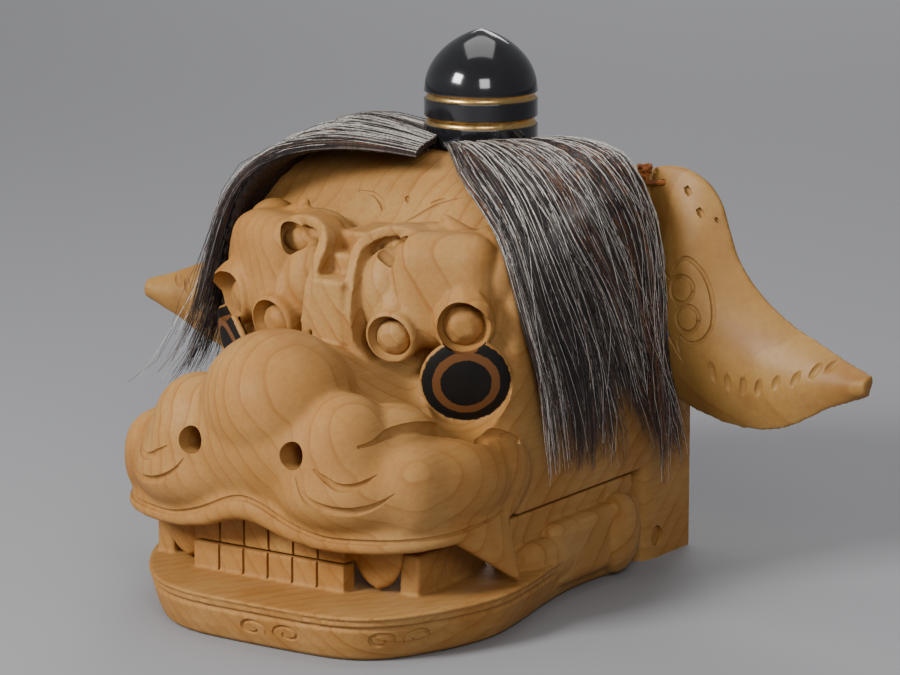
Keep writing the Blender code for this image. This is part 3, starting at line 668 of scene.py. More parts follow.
def browMasses(clay):
    # each brow is a block turned outwards, with a knob on top, a lobe outside and two bosses below
    block(clay, (58, 120, 190), (33, 30, 34), 0.6, turn=22, lean=-4, both=True)
    stampBoth(clay, ballPattern, (63, 113, 190), (36, 31, 35), turn=24)
    stampBoth(clay, ballPattern, (80, 106, 212), (15, 18, 16))
    stampBoth(clay, ballPattern, (91, 108, 198), (14, 21, 21))
    for place, turn, lean, radius, _ in browHollows:
        centre = Vector(place) - facing(turn, lean) * 18
        for side in (1, -1):
            stamp(clay, roundBoss, (side * centre.x, centre.y, centre.z), (radius + 2.2, 18, radius + 2.2),
                  side * turn, -lean)
    for side in (1, -1):
        # the inner boss tapers up like a drop, and the outer one runs back as a rounded lobe
        spike(clay, (side * 42, 151, 171), (side * 31, 142, 208), (16, 11, 15), 3.0)
        spike(clay, (side * 82, 139, 180), (side * 58, 126, 206), (18, 13, 16), 10)
        # flame points at the brow's top
        spike(clay, (side * 80, 110, 207), (side * 51, 113, 229), (12, 14, 11), 3.0)
        spike(clay, (side * 92, 104, 200), (side * 84, 101, 222), (12, 12, 11), 3.0)
    stampBoth(clay, ballPattern, (42, 115, 208), (28, 20, 19))
    stampBoth(clay, ballPattern, (28, 138, 186), (17, 19, 28))
    stampBoth(clay, ballPattern, (27, 122, 211), (16, 14, 14))
    # the column between the brows, and the wrinkles that climb from it
    block(clay, (1, 140, 168), (11.5, 25, 28), 0.22)
    block(clay, (-1, 126, 201), (12, 19, 7), 0.3)
    block(clay, (-1, 112, 212), (12, 19, 7), 0.3)


def browRibbons(clay):
    # the raised bands that run up beside the column and curl over each brow's knob
    band(clay, [(26, 148, 147), (17, 153, 158), (15, 155, 174), (14, 152, 190), (13, 147, 203), (13, 140, 214),
                (20, 133, 221), (32, 130, 224), (45, 127, 222), (55, 125, 217), (60, 125, 210), (56, 128, 204)],
         [3, 5.5, 6, 6, 6.5, 7, 7, 6.5, 6, 6, 5, 3], 18, both=True)


def upperLip(clay):
    half = [(0, 246, 75), (14, 245.5, 72), (28, 245, 66), (43, 244, 62.5), (58, 241.5, 60.5), (80, 236, 60.5),
            (97, 226.5, 61.5), (109, 211.5, 62.5), (115.5, 193, 63.5), (116.5, 170, 64.5), (114.5, 148, 66),
            (110, 128, 70)]
    whole = mirrored(half)
    roll(clay, [(x * 0.985, f - 2.5, z - 0.5) for x, f, z in whole], [3.6, 4, 4, 4, 4.4, 7, 4.4, 4, 4, 4, 3.6])
    roll(clay, [(x * 0.94, f - 6, z + 4) for x, f, z in whole], [6, 7, 7, 7, 7, 8, 7, 7, 7, 7, 6])


def upperTeeth(clay):
    block(clay, (0, 216, 58), (54, 6, 13), 0.2)
    for side in (1, -1):
        for i in range(22):
            share = i / 21
            width = 17 * math.sqrt(1 - share ** 2.6) + 3
            place = (side * (66 + 2 * share), 209 - 2 * share, 62 - 29 * share)
            stamp(clay, beadPattern, place, (width, 6.5 - 2 * share, 4.5))
        spike(clay, (side * 112, 170, 64), (side * 125, 150, 32), (7, 30, 8), 2.4, steps=36)


def hollowBrows(head):
    cups = bmesh.new()
    for place, turn, lean, radius, _ in browHollows:
        way = facing(turn, lean)
        stampBoth(cups, ballPattern, Vector(place) + way * (0.10 * radius), (radius,) * 3, turn, -lean)
    # the shallow dish round the upper knob
    stampBoth(cups, ballPattern, (42, 143, 212), (18, 8, 11), turn=10, lean=-14)
    cutAway(head, fuse(makeThing("cups", cups), headLook["voxel"]))
    knobs = bmesh.new()
    for place, turn, lean, radius, knob in browHollows:
        way = facing(turn, lean)
        centre = Vector(place) - way * (0.62 * radius) - Vector((0.06 * radius, 0, 0.12 * radius))
        radii = (knob * radius, 0.66 * radius, knob * radius)
        stampBoth(knobs, knobPattern, centre, radii, turn, -lean, roll=20)
    stampBoth(knobs, knobPattern, (41, 134, 211), (12, 6.5, 8), turn=10, lean=-14)
    combine(head, fuse(makeThing("knobs", knobs), headLook["voxel"]), "UNION")


def setEyes(head):
    # a round socket cut straight in, with a low dome as its floor
    way = facing(eyeLook["turn"], eyeLook["lean"])
    outer, bulge = eyeLook["outer"], eyeLook["bulge"]
    centre, reach = Vector(eyeLook["centre"]), 18.0
    socket = bmesh.new()
    stampBoth(socket, roundBoss, centre + way * (reach - bulge - 1.5), (outer + 1.2, reach, outer + 1.2),
              eyeLook["turn"], -eyeLook["lean"])
    cutAway(head, makeThing("socket", socket))
    dome = bmesh.new()
    stampBoth(dome, ballPattern, centre - way * (bulge + 1.5), (outer + 1.6, bulge, outer + 1.6),
              eyeLook["turn"], -eyeLook["lean"])
    combine(head, makeThing("dome", dome), "UNION")


def headGrooves(head):
    skin = skinOf(head)
    # two curls under each nostril
    gouge(head, skin, [(52, 249, 106), (60, 248, 101), (67, 245, 96.5), (75, 241, 97), (80, 236, 100), (84, 231, 104)],
          [0.6, 2.0, 2.6, 2.4, 1.6, 0.4], both=True)
    gouge(head, skin, [(40, 249, 100), (44, 251, 94), (50, 253, 89), (60, 251, 85), (72, 247, 83.5), (80, 242, 84.5),
                       (88, 236, 88), (95, 230, 94)], [0.6, 2.2, 2.8, 3.0, 2.8, 1.8, 0.4], both=True)
    # the marks on the forehead
    gouge(head, skin, [(9, 92, 219), (15, 88, 223), (24, 82, 229), (38, 76, 234)], [0.6, 1.7, 1.7, 0.6])
    gouge(head, skin, [(-35, 80, 233), (-25, 81, 233), (-17, 84, 230), (-11, 89, 225)], [0.6, 1.7, 1.9, 1.2])
    gouge(head, skin, [(0, 80, 233), (4, 84, 230)], [1.2, 1.7, 0.8])
    gouge(head, skin, [(19, 83, 232), (27, 80, 235)], [0.6, 1.4, 0.6])
    # the line that follows the lip all the way round
    half = [(0, 249, 82.5), (6, 248, 81.5), (15, 248, 79), (24, 247, 74.5), (33, 247, 70.5), (46, 245, 66.5),
            (58, 242, 64.5), (73, 238, 64.5), (87, 233, 65), (99, 226, 66), (108, 215, 66.5), (116, 196, 67.5),
            (118, 168, 69), (116, 149, 71)]
    whole = mirrored(half)
    gouge(head, skin, whole, [0.7, 1.5, 1.7, 1.8, 1.7, 1.5, 0.7])
    # the step behind the crest of each cheek
    crest = [(62, 226, 114), (72, 214, 119), (84, 194, 121), (95, 168, 119), (103, 142, 114), (107, 122, 104)]
    gouge(head, skin, crest, [1.0, 4.0, 5.0, 5.0, 4.5, 2.0], both=True)


def toothCuts(thing, front, low, high, count=6):
    clay = bmesh.new()
    for i in range(1, count):
        middle = ((i - count / 2) * headLook["toothPitch"], front, (low + high) / 2)
        block(clay, middle, (0.9, 2.4, (high - low) / 2))
    cutAway(thing, makeThing("toothCuts", clay))


def crossBar(name, radius, x0, x1, f, z):
    form = bmesh.new()
    middle = drawn((x0 + x1) / 2, f, z)
    radius /= 1000
    bmesh.ops.create_cone(form, cap_ends=True, segments=48, radius1=radius, radius2=radius,
                          depth=abs(x1 - x0) / 1000,
                          matrix=Matrix.Translation(middle) @ Matrix.Rotation(math.radians(90), 4, "Y"))
    return makeThing(name, form)


def carveHead():
    clay = takeUp(blockOut())
    faceMasses(clay)
    upperLip(clay)
    soft = fuse(makeThing("soft", clay), 2.0, 9)
    setEyes(soft)
    clay = takeUp(soft)
    browMasses(clay)
    browRibbons(clay)
    upperTeeth(clay)
    block(clay, (99.6, 52, 68), (7.2, 70, 8), 0.1, both=True)        # the side wall's lower edge, sawn square
    head = fuse(makeThing("head_carving", clay), headLook["voxel"], 2)
    hollowBrows(head)
    for side in (1, -1):
        bore = [(side * 36, 262, 112), (side * 36, 240, 111), (side * 35, 205, 109)]
        cutAway(head, gougeTool("nostril", bore, headLook["nostril"], roundness=14))
    headGrooves(head)
    side = headLook["halfWidth"] - headLook["wall"]
    top = headLook["crown"] - headLook["wall"]
    ceiling = [(f, min(z, headLook["crown"]) - headLook["wall"]) for f, z in headLook["fall"]]
    hollow = ((-110, -30), (-110, ceiling[0][1]), *ceiling, (38, top), (60, top - 12), (80, top - 31),
              (98, top - 42), (98, -30))
    inside = bmesh.new()
    extrudeOutline(inside, [(-side, f, z) for f, z in hollow], (2 * side, 0, 0))
    cutAway(head, makeThing("inside", inside))
    mouth = bmesh.new()
    block(mouth, (0, 130, 40), (84, 68, 76), 0.25)
    cutAway(head, makeThing("mouth", mouth))
    toothCuts(head, 222.6, 44, 76)
    cutAway(head, crossBar("bore", headLook["axleRadius"], -120, 120, headLook["axleF"], headLook["axleZ"]))
    sliceOff(head, (0, 50, -50), (200, 300, 50))
    sliceOff(head, (0, 50, headLook["crown"] + 50), (200, 300, 50))
    sliceOff(head, (0, -headLook["rear"] - 50, 100), (200, 50, 300))
    thinOut(head, headLook["faces"])
    return head


wood = woodMaterial("honeyWood", woodLook)
paintedWood = woodMaterial("honeyWoodWithEyes", woodLook, eyes=eyeLook)

head = carveHead()
finishWith(head, paintedWood)
paintedShadeMap(head)
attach(head, "head")
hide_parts("head")
print("head carved,", triangles(head), "triangles")


# Lower jaw

jawLook = {
    "voxel": 1.05 if fine else 2.2,
    "faces": 112000,
    "height": 28.0,
    "lean": 24.0,
    "front": 270.0,
    "floorEnd": 120.0,
    "lugOuter": 90.5,
    "lugThick": 13.0,
    "headEdge": 60.0,
    # the middle of each pair of scrolls, and the way that it faces
    "scrolls": (((32, 268, 11), 0), ((110, 244, 11), 52)),
}

# Half of the jaw's rim, from the middle of the front to the end of its arm, as (x, f).
jawRim = ((0, 270), (30, 269.5), (53, 267), (73, 259), (90, 244), (105, 221), (115, 200), (121, 180),
          (123, 160), (121, 129), (117, 100), (113, 60), (114, 30), (116, 12), (113, -2), (105, -8))

# The rim's side from the ground up: share of the height, and how far it is drawn in.
jawSide = ((0, 12), (0.08, 8.8), (0.3, 6), (0.60, 3.4), (0.69, 2.6), (0.705, 5.2), (0.77, 5.0), (0.79, 1.6),
           (0.84, 1.2), (0.86, 3.8), (0.915, 3.4), (0.935, 0.3), (0.985, 0.2), (1.0, 1.4))


def jawShift(f):
    return jawLook["lean"] * (max(f, 0.0) / jawLook["front"]) ** 2


def jawRing(inset):
    half = smoothPath([(x, f, 0) for x, f in jawRim], 4.0)
    whole = half[::-1] + [Vector((-p.x, p.y, 0)) for p in half[1:]]
    found = []
    for before, here, after in zip(whole[:1] + whole[:-1], whole, whole[1:] + whole[-1:]):
        way = (after - before).normalized()
        found.append(here + Vector((-way.y, way.x, 0)) * inset)
    return [Vector((p.x + jawShift(p.y), p.y, 0)) for p in found]


def jawPlate():
    # the outline is extruded upwards ring by ring, each drawn in as the rim's side says
    form = bmesh.new()
    ring = [form.verts.new(drawn(p.x, p.y, 0)) for p in jawRing(jawSide[0][1])]
    bottom = form.faces.new(ring)
    edges = bottom.edges[:]
    for share, inset in jawSide[1:]:
        made = bmesh.ops.extrude_edge_only(form, edges=edges)["geom"]
        edges = [g for g in made if isinstance(g, bmesh.types.BMEdge)]
        edges = [e for e in edges if e.is_boundary]
        places = [drawn(p.x, p.y, share * jawLook["height"]) for p in jawRing(inset)]
        ring = nextRing(ring)
        for vert, place in zip(ring, places):
            vert.co = place
    bmesh.ops.triangulate(form, faces=[bottom, form.faces.new(ring)])
    return makeThing("plate", form)


def nextRing(ring):
    # the vertices just extruded from those of the ring
    found = []
    for vert in ring:
        up = [e.other_vert(vert) for e in vert.link_edges if e.other_vert(vert) not in ring]
        found.append(max(up, key=lambda other: other.index if other.index >= 0 else 1e9))
    return found


def carveJaw():
    jaw = jawPlate()
    opening = bmesh.new()
    block(opening, (0, jawLook["floorEnd"] - 100, 40), (97, 100, 60), 0.1)
    cutAway(jaw, makeThing("opening", opening))
    clay = takeUp(jaw)
    top = jawLook["headEdge"] - 1.4
    lugMiddle = jawLook["lugOuter"] - jawLook["lugThick"] / 2
    axleF, axleZ = headLook["axleF"], headLook["axleZ"]
    for side in (1, -1):
        # the arm's wall, the swelling of its ridge, and the knuckle at its end
        block(clay, (side * 99, 58, (top + 8) / 2), (6, 68, (top - 8) / 2), 0.15)
        block(clay, (side * 106, 42, 28), (9, 50, 20), 0.8)
        stamp(clay, ballPattern, (side * 108, 96, 27), (10, 34, 14), lean=-8)
        stamp(clay, ballPattern, (side * 108, 14, 27), (12, 22, 25))
        block(clay, (side * (jawLook["lugOuter"] - 1), 6, 24), (12.5, 9, 15), 0.15)
        lug = (jawLook["lugThick"] / 2, (6 - axleF) / 2, 13)
        block(clay, (side * lugMiddle, (axleF + 6) / 2, axleZ), lug)
    block(clay, (0, 217, 34), (54, 6, 10), 0.12)
    for side, turn in ((1, 4), (-1, -4)):
        for i in range(5):
            place = (side * (87.5 - 1.1 * i), 198 - 15.5 * i, 38)
            block(clay, place, (6.5, 8.4, 14 - 0.5 * i), 0.3, turn=turn)
    jaw = fuse(makeThing("jaw_carving", clay), jawLook["voxel"], 3)
    for side in (1, -1):
        ends = sorted((side * jawLook["lugOuter"], side * (jawLook["lugOuter"] - jawLook["lugThick"])))
        combine(jaw, crossBar("eye", 13, *ends, axleF, axleZ), "UNION")
    toothCuts(jaw, 223.6, 28.6, 46)
    skin = skinOf(jaw)
    for middle, turn in jawLook["scrolls"]:
        jawScroll(jaw, skin, Vector(middle), facing(turn + 90))
    cutAway(jaw, crossBar("bore", headLook["axleRadius"], -110, 110, axleF, axleZ))
    sliceOff(jaw, (0, 100, -50), (200, 300, 50))
    thinOut(jaw, jawLook["faces"])
    return jaw


def jawScroll(jaw, skin, middle, along):
    # two curls side by side, opening towards each other, cut into the band under the rim
    for way in (1, -1):
        points = []
        for i in range(13):
            turn = math.radians(-120 + 36 * i)
            radius = 10.5 - 0.66 * i
            points.append(middle + along * way * (12.5 + radius * math.sin(turn))
                          + Vector((0, 0, 0.6 * radius * math.cos(turn))))
        gouge(jaw, skin, points, [0.4, 1.3, 1.5, 1.4, 1.1, 0.4], step=1.5)


jaw = carveJaw()
finishWith(jaw, wood)
paintedShadeMap(jaw)
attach(jaw, "jaw")
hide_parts("lower_jaw")
print("jaw carved,", triangles(jaw), "triangles")


# Axle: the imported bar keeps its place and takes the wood

axle = frame["nodes"]["jaw_axle"]
axle.data.materials.clear()
axle.data.materials.append(wood)
axle.data.shade_smooth()
axle.data.set_sharp_from_angle(angle=math.radians(40))


# Ears

earLook = {
    "root": (-30.0, 238.0),
    "thick": 9.0,
    "rows": 90,
    "columns": 44,
    "faces": 36000,
    "outer": ((108.5, 246.5), (128, 247), (144, 240), (154, 228), (160, 212), (168, 194), (184, 176), (206, 161),
              (230, 151), (252, 142), (269, 136)),
    "inner": ((107.4, 236), (107.4, 214), (107.4, 182), (107.4, 152), (110, 130), (122, 112), (146, 102), (178, 97),
              (210, 102), (240, 118), (266, 131)),
    "camber": (0, 4, 9, 14, 17, 18, 17, 15, 12, 8, 5),
    "sweep": (0, 0, 0, 0, 1, 2, 4, 7, 11, 15, 19),
    # the row of chisel dents, as (x, z, half length), and the small holes, as (x, z, size)
    "dents": ((163, 130, 8), (174, 125, 7), (185, 124, 7.5), (196, 125, 7), (208, 129, 6), (221, 133, 6.5),
              (233, 139, 7), (243, 143, 7)),
    "holes": ((135, 235, 2.4), (145, 223, 2.4), (155, 219, 1.5)),
    "tieRing": 12.0,
    "tieRadius": 1.6,
}


earInner = [Vector(point) for point in earLook["inner"]]
earOuter = [Vector(point) for point in earLook["outer"]]


def earPlace(side, u, v):
    # v runs from the root to the tip and u from the inner edge to the outer one
    a, b = curveAt(earInner, v), curveAt(earOuter, v)
    point = a.lerp(b, u)
    bulge = between(earLook["camber"], v) * 4 * u * (1 - u)
    rim = 5.0 * math.sin(math.pi * max(0.0, v - 0.7) / 0.3) * max(0.0, 1 - u / 0.4) ** 2
    f = earLook["root"][0] + between(earLook["sweep"], v) + bulge + rim
    return drawn(side * point.x, f, point.y)


def carveEar(side, name):
    rows, columns = earLook["rows"], earLook["columns"]
    form = bmesh.new()
    bmesh.ops.create_grid(form, x_segments=columns, y_segments=rows, size=1.0)
    for vert in form.verts:
        u, v = (vert.co.x + 1) / 2, (vert.co.y + 1) / 2
        vert.co = earPlace(side, u, v)
    ear = makeThing("leaf", form)
    thicken = ear.modifiers.new("thicken", "SOLIDIFY")
    thicken.thickness = earLook["thick"] / 1000
    thicken.offset = 0.0
    thicken.use_even_offset = False
    settle(ear)
    fuse(ear, 1.5 if fine else 3.0, 7)
    ear.name = name
    skin = skinOf(ear)

    def mark(points, radii, sink=0.0, step=2.0):
        flat = [(side * x, earLook["root"][0] + 40, z) for x, z in points]
        path = []
        for point in smoothPath(flat, step):
            place, normal, _, _ = skin.ray_cast(drawn(*point), Vector((0, 1, 0)))
            if place:
                path.append(undrawn(place - normal * sink / 1000))
        if len(path) > 2:
            cutAway(ear, gougeTool("mark", path, radii))

    for centre in ((139, 177), (144.5, 160)):
        ring = [(centre[0] + 8.0 * math.cos(math.tau * i / 16), centre[1] + 8.0 * math.sin(math.tau * i / 16))
                for i in range(17)]
        mark(ring, [1.5, 1.6, 1.5])
    mark([(130, 184), (133, 191), (140, 196), (149, 191), (156, 181), (161, 167), (161, 156), (155, 148), (146, 146),
          (139, 150)], [0.6, 1.6, 1.7, 1.7, 1.5, 0.8])
    mark([(139, 150), (138, 143), (141, 133)], [0.8, 1.3, 0.6])
    mark([(121, 170), (124, 160), (129, 150), (136, 140), (141, 133)], [0.6, 1.4, 1.5, 1.4, 0.6])
    mark([(121, 191), (124, 186), (130, 182)], [0.7, 1.4, 0.8])
    for i, (x, z, length) in enumerate(earLook["dents"]):
        slant = math.radians(80 + 7 * i)
        dx, dz = length * math.cos(slant), length * math.sin(slant)
        mark([(x - dx, z + dz), (x, z), (x + dx, z - dz)], [0.6, 2.8, 3.2, 2.8, 0.6], sink=-1.2)
    for x, z, size in earLook["holes"]:
        dx = size * 0.8
        mark([(x - dx, z + size), (x, z), (x + dx, z - size)], [size * 0.7, size, size * 0.7], sink=0.6)
    cutAway(ear, tieRing("tunnel", side, earLook["tieRadius"] + 0.5))
    return thinOut(ear, earLook["faces"])


def tieRing(name, side, radius):
    # a ring of cord through the ear and the head's side, turned round the upright axis
    centre = drawn(side * 107, *earLook["root"])
    form = bmesh.new()
    bmesh.ops.create_circle(form, segments=12, radius=radius / 1000,
                            matrix=Matrix.Translation((earLook["tieRing"] / 1000, 0, 0))
                            @ Matrix.Rotation(math.radians(90), 4, "X"))
    bmesh.ops.spin(form, geom=form.edges[:] + form.verts[:], cent=(0, 0, 0), axis=(0, 0, 1), angle=math.tau,
                   steps=48, use_merge=True)
    bmesh.ops.remove_doubles(form, verts=form.verts, dist=1e-6)
    bmesh.ops.translate(form, verts=form.verts, vec=centre)
    return makeThing(name, form)


earWoodLook = {
    "pale": (0.88, 0.57, 0.17),
    "tan": (0.74, 0.42, 0.10),
    "ring": (0.40, 0.18, 0.035),
    "stain": (0.36, 0.15, 0.035),
    # the deep colour is painted shade, laid into the hollows
    "deep": (0.17, 0.07, 0.02),
    "ringTurn": (0, 20, 70),
    "ringScale": 16.0,
    "ringBend": 2.0,
    "fibreScale": 300.0,
    "roughness": 0.44,
    "shine": 0.24,
}

earWood = woodMaterial("polishedEarWood", earWoodLook)
for side, word in ((1, "left"), (-1, "right")):
    ear = carveEar(side, "ear_" + word + "_carving")
    finishWith(ear, earWood)
    paintedShadeMap(ear)
    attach(ear, "head")
    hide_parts("ear_" + word)
    print("ear carved,", triangles(ear), "triangles")


# Finial

finialLook = {
    "radius": (finialHigh.x - finialLow.x) / 2,
    "height": finialHigh.z - finialLow.z,
    "base": finialLow.z,
    "groove": 0.0022,
    "grooves": (0.19, 0.41),
    "dome": 0.56,
    "black": (0.004, 0.004, 0.005),
    "smear": (0.013, 0.013, 0.015),
    "gold": (0.62, 0.36, 0.11),
    "bright": (0.78, 0.55, 0.24),
}


def turnFinial():
    r, h, g = finialLook["radius"], finialLook["height"], finialLook["groove"]
    side = [(0.0, 0.0), (r - 0.0006, 0.0), (r, 0.0006)]
    for share in finialLook["grooves"]:
        low = share * h
        side += [(r, low - 0.0006), (r - 0.0006, low)]
        for i in range(1, 6):
            side.append((r - 0.0008 - 0.5 * g * math.sin(math.pi * i / 6) ** 0.7, low + 2 * g * i / 6))
        side += [(r - 0.0006, low + 2 * g), (r, low + 2 * g + 0.0006)]
    dome = finialLook["dome"] * h
    for i in range(1, 30):
        up = math.sin(i / 30 * math.pi / 2)
        side.append((r * (1 - up ** 2.3) ** 0.72, h - dome + dome * up))
    side.append((0.0, h))
    form = bmesh.new()
    verts = [form.verts.new((finialAxis.x + x, finialAxis.y, finialLook["base"] + z)) for x, z in side]
    for a, b in zip(verts, verts[1:]):
        form.edges.new((a, b))
    bmesh.ops.spin(form, geom=form.verts[:] + form.edges[:], cent=finialAxis, axis=(0, 0, 1), angle=math.tau,
                   steps=96, use_merge=True)
    bmesh.ops.remove_doubles(form, verts=form.verts, dist=1e-6)
    return makeThing("lacquered_finial", form)


def lacquerMaterial():
    material, shader = newMaterial("blackLacquer")
    places = objectPlaces(material)
    smear = noiseOf(material, places, 90.0, 3.0)
    tint = mixed(material, smear, finialLook["black"], finialLook["smear"])
    link(material, tint, shader.inputs["Base Color"])
    link(material, greys(material, smear, (0.3, 0.10), (0.75, 0.17)), shader.inputs["Roughness"])
    bump(material, shader, [(noiseOf(material, places, 45.0, 2.0), 0.06, 0.0006)])
    shader.inputs["IOR"].default_value = 1.5
    shader.inputs["Coat Weight"].default_value = 0.6
    shader.inputs["Coat Roughness"].default_value = 0.08
    return material


def giltMaterial():
    material, shader = newMaterial("giltLine")
    places = objectPlaces(material)
    worn = noiseOf(material, places, 260.0, 4.0, 0.65)
    link(material, mixed(material, worn, finialLook["gold"], finialLook["bright"]), shader.inputs["Base Color"])
    link(material, greys(material, worn, (0.3, 0.24), (0.75, 0.42)), shader.inputs["Roughness"])
    shader.inputs["Metallic"].default_value = 1.0
    bump(material, shader, [(worn, 0.15, 0.0004)])
    return material


finial = turnFinial()
finishWith(finial, lacquerMaterial())
finial.data.materials.append(giltMaterial())
for face in finial.data.polygons:
    out = Vector((face.center.x - finialAxis.x, face.center.y - finialAxis.y)).length
    up = (face.center.z - finialLook["base"]) / finialLook["height"]
    inGroove = any(0 <= (up - share) * finialLook["height"] <= 2 * finialLook["groove"]
                   for share in finialLook["grooves"])
    if inGroove and out < finialLook["radius"] - 0.0005:
        face.material_index = 1
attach(finial, "head")
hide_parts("finial")
print("finial turned")


# Mane: a fall of horsehair on each side, parted at the finial

maneLook = {
    "clumps": 90,
    "strands": {"left": 4700, "right": 2600},
    "knots": 13,                    # points along one hair
    "root": 0.24,
    "tip": 0.10,
    "clumpSpread": 0.035,
    "gather": 0.92,                 # how far a clump's hairs draw together at their tips
    "strays": 150,
    "dark": (0.017, 0.0105, 0.0095),
    "brown": (0.060, 0.033, 0.021),
    "rust": (0.16, 0.057, 0.018),
    "grey": (0.13, 0.105, 0.088),
    "silver": (0.42, 0.39, 0.35),
    # how far the tips of each shade are dyed towards rust
    "dye": {"dark": 0.35, "brown": 0.6, "rust": 0.3, "grey": 0.55, "silver": 0.3},
}

# Guides from the parting to the tips, the foremost first, as (x, f, z).
leftFall = [
    [(6, 44, 259), (22, 60, 257), (46, 84, 247), (74, 110, 239), (96, 124, 224), (107, 127, 200), (112, 122, 172),
     (115, 113, 142), (116, 105, 116), (116, 98, 92), (114, 91, 66)],
    [(14, 36, 259), (34, 48, 259), (64, 70, 252), (90, 88, 239), (107, 96, 218), (114, 90, 194), (116, 76, 168),
     (116, 62, 142), (115, 54, 116), (114, 48, 92), (113, 48, 68)],
    [(24, 22, 259), (46, 30, 260), (76, 48, 256), (102, 62, 243), (114, 62, 222), (117, 46, 198), (118, 28, 170),
     (118, 12, 142), (118, -6, 116), (120, -24, 90), (121, -38, 62)],
    [(34, 10, 259), (60, 16, 260), (90, 32, 256), (110, 36, 241), (118, 26, 220), (120, 14, 194), (121, 8, 166),
     (122, 0, 138), (123, -6, 110), (124, -10, 84), (124, -10, 52)],
    [(42, -2, 259), (68, -4, 260), (96, -2, 255), (111, 0, 241), (119, -4, 218), (123, -6, 192), (126, -7, 162),
     (127, -9, 132), (126, -20, 106), (122, -38, 82), (118, -54, 58)],
]
rightFall = [
    [(4, 76, 258), (-22, 88, 262), (-50, 100, 262), (-78, 110, 255), (-98, 118, 238), (-108, 124, 214),
     (-113, 132, 184), (-118, 139, 156), (-130, 146, 130), (-152, 150, 110)],
    [(-2, 58, 260), (-30, 66, 265), (-60, 74, 266), (-86, 80, 256), (-103, 84, 236), (-112, 86, 210),
     (-116, 90, 182), (-119, 94, 154), (-123, 98, 126), (-128, 102, 102)],
    [(-8, 40, 260), (-36, 44, 265), (-64, 48, 266), (-90, 50, 256), (-106, 50, 234), (-113, 48, 208),
     (-116, 48, 180), (-118, 48, 152), (-118, 48, 126), (-120, 50, 100)],
    [(-14, 22, 260), (-42, 24, 265), (-70, 24, 266), (-94, 22, 256), (-109, 18, 234), (-115, 14, 208),
     (-118, 10, 180), (-119, 8, 152), (-118, 6, 126), (-117, 4, 100)],
    [(-22, 2, 260), (-48, 2, 264), (-76, 0, 264), (-98, -4, 254), (-113, -6, 232), (-122, -7, 206), (-128, -7, 178),
     (-130, -8, 150), (-129, -10, 124), (-124, -24, 100)],
]


def combed(fall, rows=40, columns=40):
    # the guides drawn out to an even net of places
    across = [[Vector(row[k]) for row in fall] for k in range(len(fall[0]))]
    columnsDrawn = [[curveAt(column, i / rows) for i in range(rows + 1)] for column in across]
    return [[curveAt([column[i] for column in columnsDrawn], j / columns) for j in range(columns + 1)]
            for i in range(rows + 1)]


def onNet(net, s, t):
    s = max(0.0, min(0.9999, s)) * (len(net) - 1)
    t = max(0.0, min(0.9999, t)) * (len(net[0]) - 1)
    i, j = int(s), int(t)
    low = net[i][j].lerp(net[i][j + 1], t - j)
    high = net[i + 1][j].lerp(net[i + 1][j + 1], t - j)
    return low.lerp(high, s - i)


def outwardAt(place):
    # square to the head: up on the crown, sideways down the cheeks
    sideways = math.copysign(abs(place.x / 112) ** 3, place.x)
    return Vector((sideways, 0.0, max(0.0, (place.z - 100) / 158) ** 3 + 1e-4)).normalized()


def hairOf(net, dice, clump, s0, lift, length, loose=1.0):
    points = []
    phase = dice.uniform(0, math.tau)
    beat = dice.uniform(1.2, 3.4)
    sway = dice.uniform(0.2, 1.5) * loose
    drift = dice.gauss(0, 1.6) * loose
    for k in range(maneLook["knots"]):
        t = length * k / (maneLook["knots"] - 1)
        s = clump["s"] + (s0 - clump["s"]) * (1 - maneLook["gather"] * clump["pull"] * t)
        place = onNet(net, s, t)
        out = outwardAt(place)
        along = (onNet(net, s, t + 0.03) - onNet(net, s, t - 0.03)).normalized()
        across = along.cross(out).normalized()
        swing = (clump["sway"] * min(1.0, 0.15 + 1.2 * t) * math.sin(clump["phase"] + clump["beat"] * math.tau * t)
                 + sway * (0.3 + t) * math.sin(phase + beat * math.tau * t) + drift * t * t)
        rise = lift * (1 - 0.55 * t) * (0.55 + 0.45 * min(1.0, 5 * t))
        rise += 0.5 * sway * t * math.cos(phase + beat * 5 * t)
        points.append(place + across * swing + out * (rise + clump["rise"] * t))
    return points


def shadeOf(dice, side, s, lift):
    # silver gathers at the front edge, rust towards the back and underneath
    high = (lift + 2) / 6
    if side == "left" and s < 0.10:
        weights = (0.40, 0.14, 0.07, 0.20, 0.19)
    elif side == "left" and s < 0.42:
        weights = (0.66, 0.16, 0.05, 0.09, 0.04 * high)
    elif side == "left":
        weights = (0.40, 0.25, 0.17, 0.12, 0.06 * high)
    else:
        weights = (0.66, 0.16, 0.02, 0.11, 0.05 * high)
    return dice.choices(("dark", "brown", "rust", "grey", "silver"), weights)[0]


